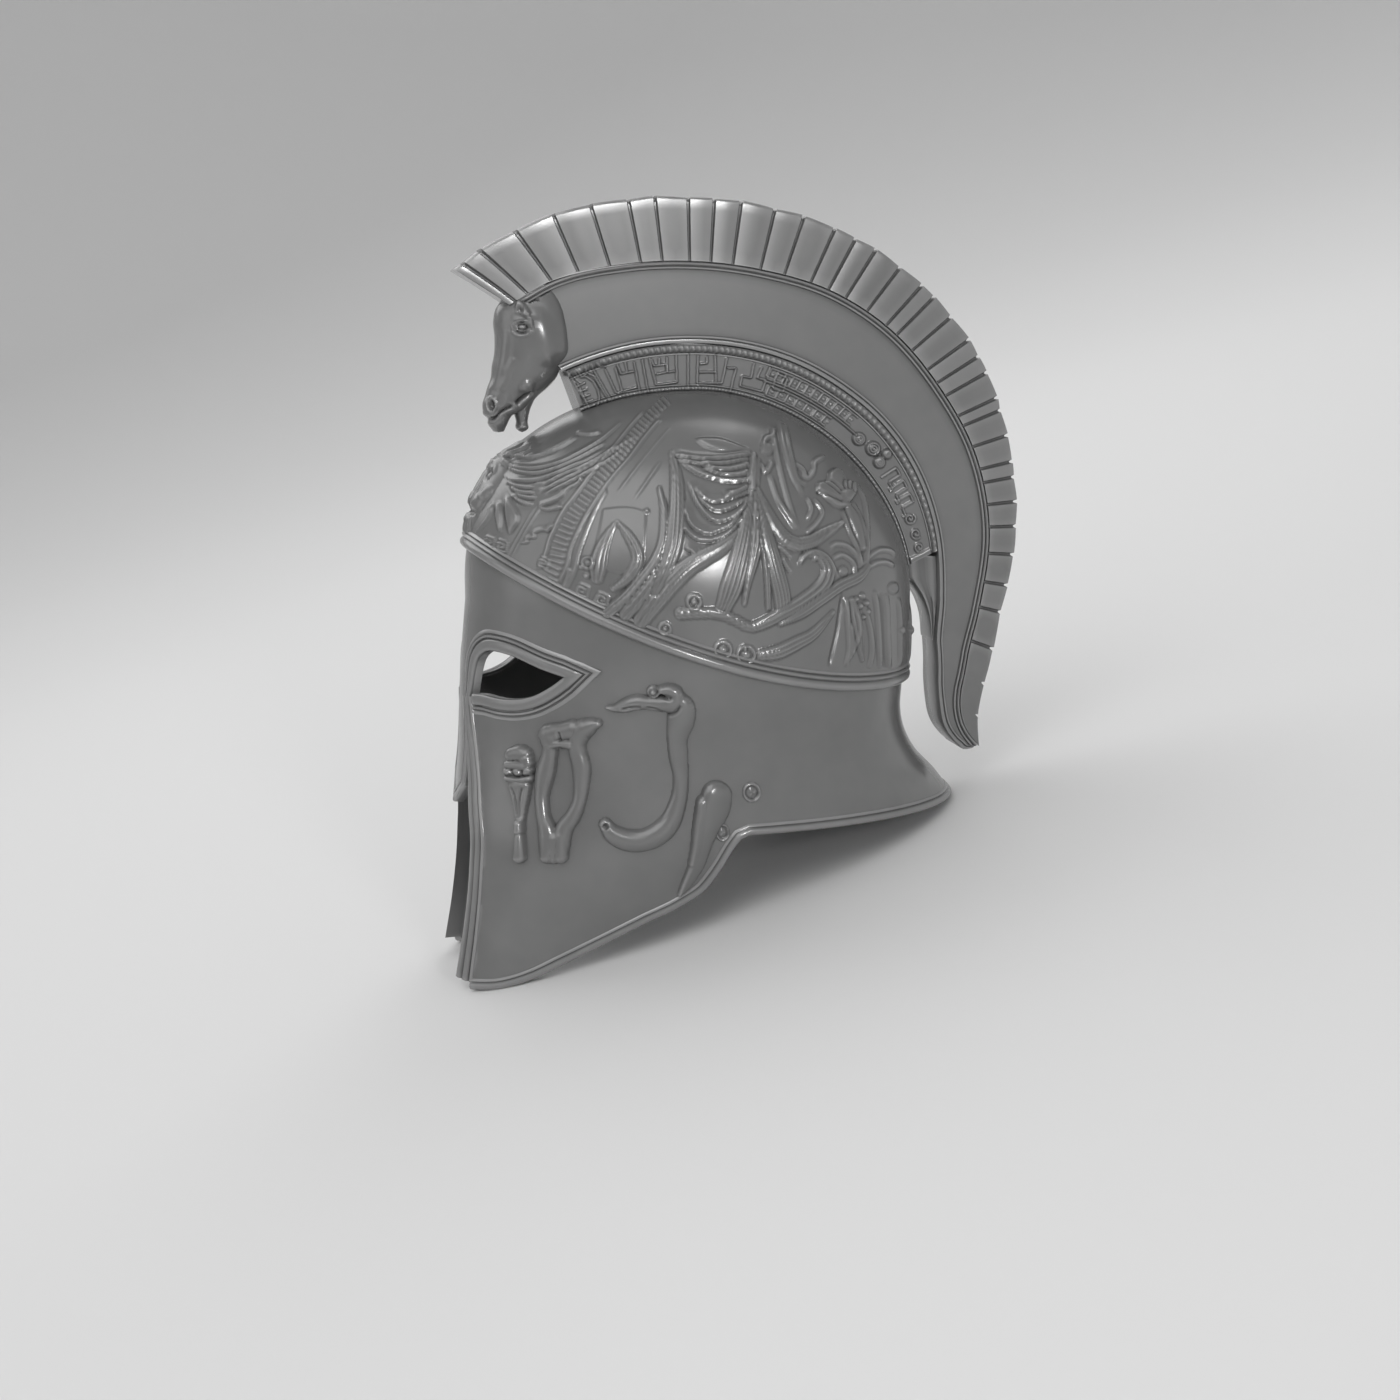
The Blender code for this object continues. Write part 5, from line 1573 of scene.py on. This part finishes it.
HOOK = """
679,698,7.5 683,707,13 681,720,14.4 677.5,738,10.8 678.5,756,10 681,775,8.2 680.5,790,8.4 678,803,9.2 \
671,821,11 660,833,12 645,840,11.8 628,840.5,11.5 613,834,9.8 605,824,6.8
607,707,2 615,708,4.5 624,706,7.5 636,702.5,8.2 650,703,7.2 664,704,9 672,703,11 678,698,8
653,691,6.6 654,692,6.6
662,690,5.4 669,690,7 676,693,7.6 678,700,6.4
"""
HOOK_LINES = """
622,708 632,706 642,706
646,706 656,708 664,712 671,713 677,710 681,703
660,694 666,697 672,698
"""
VASE = """
514,754.5,8.8 520,753.5,9.6 524,755,9
526.5,759,7.6 528,763,6.8
510,765,6 519,765,6.6 527,766,6.6
509.5,771,5 510,773,4.8
519,771,5.4 520,773,5
529,770,5.4 528.5,773,5.2
510,778,5 520,780,5.2 530,778,5
520,786,12 520.5,798,9.4 520.5,812,6.2 520,824,4.8
519.5,824,5.2 519.5,831,5.4
520,836,5 520,848,6 520,857,6.8
"""
VASE_LINES = """
514,786 518,800 519,818
525,786 522,800 521,818
507,775 513,776 520,777 527,776 533,775
"""
LYRE = """
550,736,10.4 550,744,8.4 549.5,754,8.4 545.5,772,10.2 541.8,795,7.6 543,815,7.6 547,830,9.5 549,850,10.5
598,723.6,4.6 593,725,8.4 587,727.8,10.6 581,731,11.8 577,742,9.8 577.5,752,9.2 581.5,769,9.6 580,797,7.4 \
573.5,815,8.2 564,829,9.5 559,850,10.6
549,734,10.8 551,741,10.8
553,733,10.6 562,732,10 572,730,11
553,744,6.5 562,743,5.5 572,744,6.5
547,836,8 547.5,856,8.2
554,840,11 554,856,8.6
561,836,8 561,856,8.2
"""
LYRE_LINES = "561,730 562,736 561.5,741"
HORN = """
710,797,16.4 707,811,15.8 702,828,12.2 698,845,10.2 694,862,8.6 689,874,7 683,886,5 679,894,2.4
701,804,9.6 700,814,10.6 697,832,9.4 695,848,8.2 692,862,7
"""
HORN_LEAN = 0.42
HOOK_DENTS = (
    (606, 826, 3.4, -0.0018, None), (653.5, 691, 3.9, -0.0010, 1.3), (653.5, 691, 1.6, 0.0006, None),
)
FIGURE_RISE = 0.0048
# Grid step of an ornament, and how deep its mesh goes on into the cheek outside its outline
FIGURE_STEP = 0.00052
FIGURE_ROOT = -0.0009


# Grooves on the ornaments, and the least that a groove or dent leaves of their rise
FIGURE_GROOVE_WIDTH = 1.8
FIGURE_GROOVE_DEPTH = 0.0011
FIGURE_LEAST = 0.0003
# Plane along X in which an ornament's corners are found, and the margins of its grid, the last one behind it
FIGURE_PLANE = 0.070
FIGURE_MARGIN = 0.004
FIGURE_BACK_MARGIN = 0.006


def figure_field(limbs, grooves="", lean=0.0, dents=()):
    """Height of an ornament over picture places."""
    def field(places):
        relief = Relief(places)
        relief.height[:] = FIGURE_ROOT
        relief.draw(relief.limb, limbs, height=FIGURE_RISE, lean=lean)
        base = relief.height.copy()
        relief.draw(relief.groove, grooves, width=FIGURE_GROOVE_WIDTH, depth=FIGURE_GROOVE_DEPTH)
        for x, y, radius, height, ring in dents:
            relief.disc((x, y), radius, height, ring=ring)
        return np.where(base > 0, np.maximum(relief.height, FIGURE_LEAST), base)
    return field


def round_field(centre, radius, squash):
    """Height of a small round boss with a ring and a three-lobed button in its middle."""
    def field(places):
        off = (places - centre) / (1, squash)
        distance = np.hypot(off[:, 0], off[:, 1]) / radius
        rim = 0.0012 * np.clip(1 - ((distance - 0.82) / 0.18) ** 2, 0, 1)
        lobes = 0.7 + 0.3 * np.cos(3 * np.arctan2(off[:, 1], off[:, 0]))
        button = 0.0009 * np.clip(1 - (distance / 0.55) ** 2, 0, 1) * lobes
        return np.where(distance < 1, FIGURE_LEAST + rim + button, FIGURE_ROOT)
    return field


def build_figure(name, corners, field):
    """An ornament on the left cheek and its mirror image on the right, as two pieces."""
    across, down = zip(*corners)
    spots = np.array([picture_to_side(px, py, FIGURE_PLANE) for px in across for py in down])
    low, high = spots.min(0) - FIGURE_MARGIN, spots.max(0) + (FIGURE_BACK_MARGIN, FIGURE_MARGIN)
    y, z = np.meshgrid(np.arange(low[0], high[0], FIGURE_STEP), np.arange(low[1], high[1], FIGURE_STEP))
    wall = np.stack([wall_side(y, z), y, z], -1)
    normal = wall_normals(wall)
    height = field(in_photo((wall + normal * 0.001).reshape(-1, 3))).reshape(y.shape)
    points = wall + normal * height[..., None]
    keep = height > 0
    near = keep.copy()
    near[1:] |= keep[:-1]
    near[:-1] |= keep[1:]
    near[:, 1:] |= near[:, :-1]
    near[:, :-1] |= near[:, 1:]
    flags = near.reshape(-1)
    pieces = []
    for side, mirror in (("left", 1), ("right", -1)):
        builder = Builder()
        builder.grid(points * (mirror, 1, 1))
        builder.faces = [face for face in builder.faces if flags[face].all()]
        pieces.append(builder.done(f"{name}_{side}_cast", 60.0))
    return pieces


# Material

# Rounds of smoothing of the hollow and edge mask for painted shade and painted highlight, and how strongly it
# then counts
PAINTED_SHADING_SPREAD = 2
PAINTED_SHADING_GAIN = 5.0
# Grey tones of the metal on its faces, of the painted shade in its hollows and of the painted highlight on
# its edges; then the mottle's dark and light places, and how they scale the tone and set the roughness
METAL_TONE = 0.20
PAINTED_SHADE_TONE = 0.062
PAINTED_HIGHLIGHT_TONE = 0.32
MOTTLE_PLACES = (0.3, 0.7)
MOTTLE_TONES = (0.94, 1.03)
MOTTLE_ROUGHNESS = (0.262, 0.24)


def mark_painted_shading(piece):
    """Store how hollow (above 0) or edged (below 0) the surface is at each point: the mask of the painted
    shade in hollows and the painted highlight on edges.
    """
    mesh = piece.data
    count = len(mesh.vertices)
    places, normals = vertex_vectors(mesh, "co"), vertex_vectors(mesh, "normal")
    edges = np.empty(len(mesh.edges) * 2, dtype=np.int64)
    mesh.edges.foreach_get("vertices", edges)
    a, b = edges.reshape(-1, 2).T
    along = places[b] - places[a]
    length = np.maximum(np.linalg.norm(along, axis=1), TINY)
    links = np.maximum(np.bincount(a, minlength=count) + np.bincount(b, minlength=count), 1)

    def shared(from_a, from_b):
        return (np.bincount(a, from_a, count) + np.bincount(b, from_b, count)) / links

    painted_shading = shared((along * normals[a]).sum(1) / length, -(along * normals[b]).sum(1) / length)
    for _ in range(PAINTED_SHADING_SPREAD):
        painted_shading = 0.5 * painted_shading + 0.5 * shared(painted_shading[b], painted_shading[a])
    # Mask that the material reads to paint shade into the hollows and a highlight onto the edges
    layer = mesh.attributes.new("painted_shading", "FLOAT", "POINT")
    layer.data.foreach_set("value", np.clip(painted_shading * PAINTED_SHADING_GAIN, -1, 1).astype(np.float32))


def metal_material():
    """Satin grey metal with painted shade darkening the hollows and a painted highlight brightening the
    edges, faintly mottled all over.
    """
    metal = bpy.data.materials.new("satin_grey_metal")
    metal.use_nodes = True
    nodes, links = metal.node_tree.nodes, metal.node_tree.links
    shader = nodes["Principled BSDF"]
    shader.inputs["Metallic"].default_value = 0.4

    def node(kind, **settings):
        made = nodes.new(kind)
        for name, value in settings.items():
            made.inputs[name.replace("_", " ")].default_value = value
        return made

    def ramp(source, stops):
        made = nodes.new("ShaderNodeValToRGB")
        links.new(source, made.inputs["Fac"])
        while len(made.color_ramp.elements) < len(stops):
            made.color_ramp.elements.new(0.5)
        for element, (place, tone) in zip(made.color_ramp.elements, stops):
            element.position = place
            element.color = (tone, tone, tone, 1)
        return made.outputs["Color"]

    place = nodes.new("ShaderNodeTexCoord").outputs["Object"]
    mottle = node("ShaderNodeTexNoise", Scale=45.0, Detail=2.0, Roughness=0.6)
    grain = node("ShaderNodeTexNoise", Scale=1400.0, Detail=3.0, Roughness=0.6)
    for noise in (mottle, grain):
        links.new(place, noise.inputs["Vector"])
    painted_shading = nodes.new("ShaderNodeAttribute")
    painted_shading.attribute_name = "painted_shading"
    shift = nodes.new("ShaderNodeMapRange")
    shift.inputs["From Min"].default_value = -1.0
    links.new(painted_shading.outputs["Fac"], shift.inputs["Value"])
    # Painted highlight on the edges, the metal's own tone on the faces, and painted shade in the hollows
    stops = ((0.0, PAINTED_HIGHLIGHT_TONE), (0.40, METAL_TONE), (0.56, METAL_TONE), (1.0, PAINTED_SHADE_TONE))
    tone = ramp(shift.outputs["Result"], stops)
    stain = ramp(mottle.outputs["Fac"], tuple(zip(MOTTLE_PLACES, MOTTLE_TONES)))
    rough = ramp(mottle.outputs["Fac"], tuple(zip(MOTTLE_PLACES, MOTTLE_ROUGHNESS)))
    blend = nodes.new("ShaderNodeMix")
    blend.data_type = "RGBA"
    blend.blend_type = "MULTIPLY"
    blend.inputs["Factor"].default_value = 1.0
    links.new(tone, blend.inputs["A"])
    links.new(stain, blend.inputs["B"])
    links.new(blend.outputs["Result"], shader.inputs["Base Color"])
    links.new(rough, shader.inputs["Roughness"])
    bump = node("ShaderNodeBump", Strength=0.03, Distance=0.0004)
    links.new(grain.outputs["Fac"], bump.inputs["Height"])
    links.new(bump.outputs["Normal"], shader.inputs["Normal"])
    return metal


def floor_material():
    paint = bpy.data.materials.new("pale_floor")
    paint.use_nodes = True
    shader = paint.node_tree.nodes["Principled BSDF"]
    shader.inputs["Base Color"].default_value = (0.74, 0.74, 0.74, 1)
    shader.inputs["Roughness"].default_value = 0.9
    return paint


# Floor, light and camera

# Floor and backdrop in one dish: distance from the helmet and height of its profile
DISH_PROFILE = (
    (0.0, 0.0), (0.7, 0.0), (1.4, 0.0), (2.0, 0.03), (2.6, 0.17), (3.1, 0.48), (3.45, 1.0), (3.6, 1.7),
    (3.65, 2.6),
)
# Lights: azimuth from the front towards the wearer's left, elevation, distance, size, power and spread, in
# degrees, metres and watts
LIGHTS = {
    "key": (70, 50, 2.2, 1.8, 13, 180),
    "glint": (101, 14, 2.8, 0.34, 1.8, 60),
    "front_fill": (10, 30, 2.3, 1.5, 4, 180),
    "rear_fill": (-135, 45, 2.3, 1.5, 12, 180),
    "far_side": (-72, 45, 2.3, 1.8, 14, 180),
}
# Sides of the dish, and step of its profile
DISH_SIDES = 96
DISH_STEP = 0.12
LIGHT_AIM = Vector((0.0, 0.0, 0.16))
SKY_STRENGTH = 0.45


def add_floor():
    profile = spline(DISH_PROFILE, DISH_STEP)
    turn = np.linspace(0, 2 * pi, DISH_SIDES, endpoint=False)
    profile[0, 0] = 1e-4
    rings = [np.stack([reach * np.sin(turn), -reach * np.cos(turn), np.full(DISH_SIDES, height)], -1)
             for reach, height in profile[::-1]]
    builder = Builder()
    builder.grid(np.array(rings), close_columns=True)
    mesh = bpy.data.meshes.new("floor")
    mesh.from_pydata(np.vstack(builder.points).tolist(), [], builder.faces)
    mesh.shade_smooth()
    mesh.materials.append(floor_material())
    floor = bpy.data.objects.new("floor", mesh)
    bpy.context.scene.collection.objects.link(floor)


def row_direction(vector):
    return Vector(in_row(np.array(vector)) - in_row(np.zeros(3)))


def add_camera():
    data = bpy.data.cameras.new("camera")
    data.lens = LENS_MM
    data.sensor_width = SENSOR_MM
    camera = bpy.data.objects.new("camera", data)
    bpy.context.scene.collection.objects.link(camera)
    right, up, back = (row_direction(v) for v in (PICTURE_RIGHT, PICTURE_UP, TOWARDS_CAMERA))
    place = Vector(in_row(CAMERA_PLACE))
    camera.matrix_world = Matrix.Translation(place) @ Matrix((right, up, back)).transposed().to_4x4()
    bpy.context.scene.camera = camera


def add_lights():
    bpy.context.scene.view_settings.view_transform = "Standard"
    world = bpy.data.worlds.new("studio")
    bpy.context.scene.world = world
    world.use_nodes = True
    sky = world.node_tree.nodes["Background"]
    sky.inputs["Color"].default_value = (1, 1, 1, 1)
    sky.inputs["Strength"].default_value = SKY_STRENGTH
    for name, (azimuth, elevation, distance, size, power, spread) in LIGHTS.items():
        data = bpy.data.lights.new(name, "AREA")
        data.energy = power
        data.size = size
        data.spread = radians(spread)
        lamp = bpy.data.objects.new(name, data)
        bpy.context.scene.collection.objects.link(lamp)
        turn, tilt = radians(azimuth), radians(elevation)
        level = distance * cos(tilt)
        lamp.location = LIGHT_AIM + Vector((level * sin(turn), -level * cos(turn), distance * sin(tilt)))
        lamp.rotation_euler = (LIGHT_AIM - lamp.location).to_track_quat("-Z", "Y").to_euler()


def dress(piece, *nodes):
    # Mask for the painted shade in hollows and painted highlight on edges
    mark_painted_shading(piece)
    piece.data.materials.clear()
    piece.data.materials.append(METAL)
    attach(piece, BODY)
    if nodes:
        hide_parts(*nodes)


METAL = metal_material()
shell, shell_border = build_shell()
dress(shell, "shell")
dress(shell_border)
(cap_left, cap_right), cap_trim = build_cap()
dress(cap_left, "skull_cap")
dress(cap_right)
dress(cap_trim)
dress(build_crest(), "crest")
dress(build_plume(), "crest_plume")
dress(build_holder(), "crest_holder")
dress(build_spur())
dress(build_head(), "horse_head")
FIGURES = (
    ("vase_figure", ((500, 740), (540, 870)), figure_field(VASE, VASE_LINES)),
    ("lyre_figure", ((530, 712), (610, 870)), figure_field(LYRE, LYRE_LINES)),
    ("serpent_hook", ((595, 680), (705, 860)), figure_field(HOOK, HOOK_LINES, dents=HOOK_DENTS)),
    ("horn", ((675, 770), (735, 900)), figure_field(HORN, "", HORN_LEAN)),
    ("oval_boss", ((712, 820), (734, 846)), round_field((722.6, 832.6), 7.4, 1.25)),
    ("rosette", ((740, 780), (764, 806)), round_field((752.0, 792.6), 9.6, 1.08)),
)
for figure, corners, field in FIGURES:
    for side, piece in zip(("left", "right"), build_figure(figure, corners, field)):
        dress(piece, f"{figure}_{side}")
add_floor()
add_camera()
add_lights()
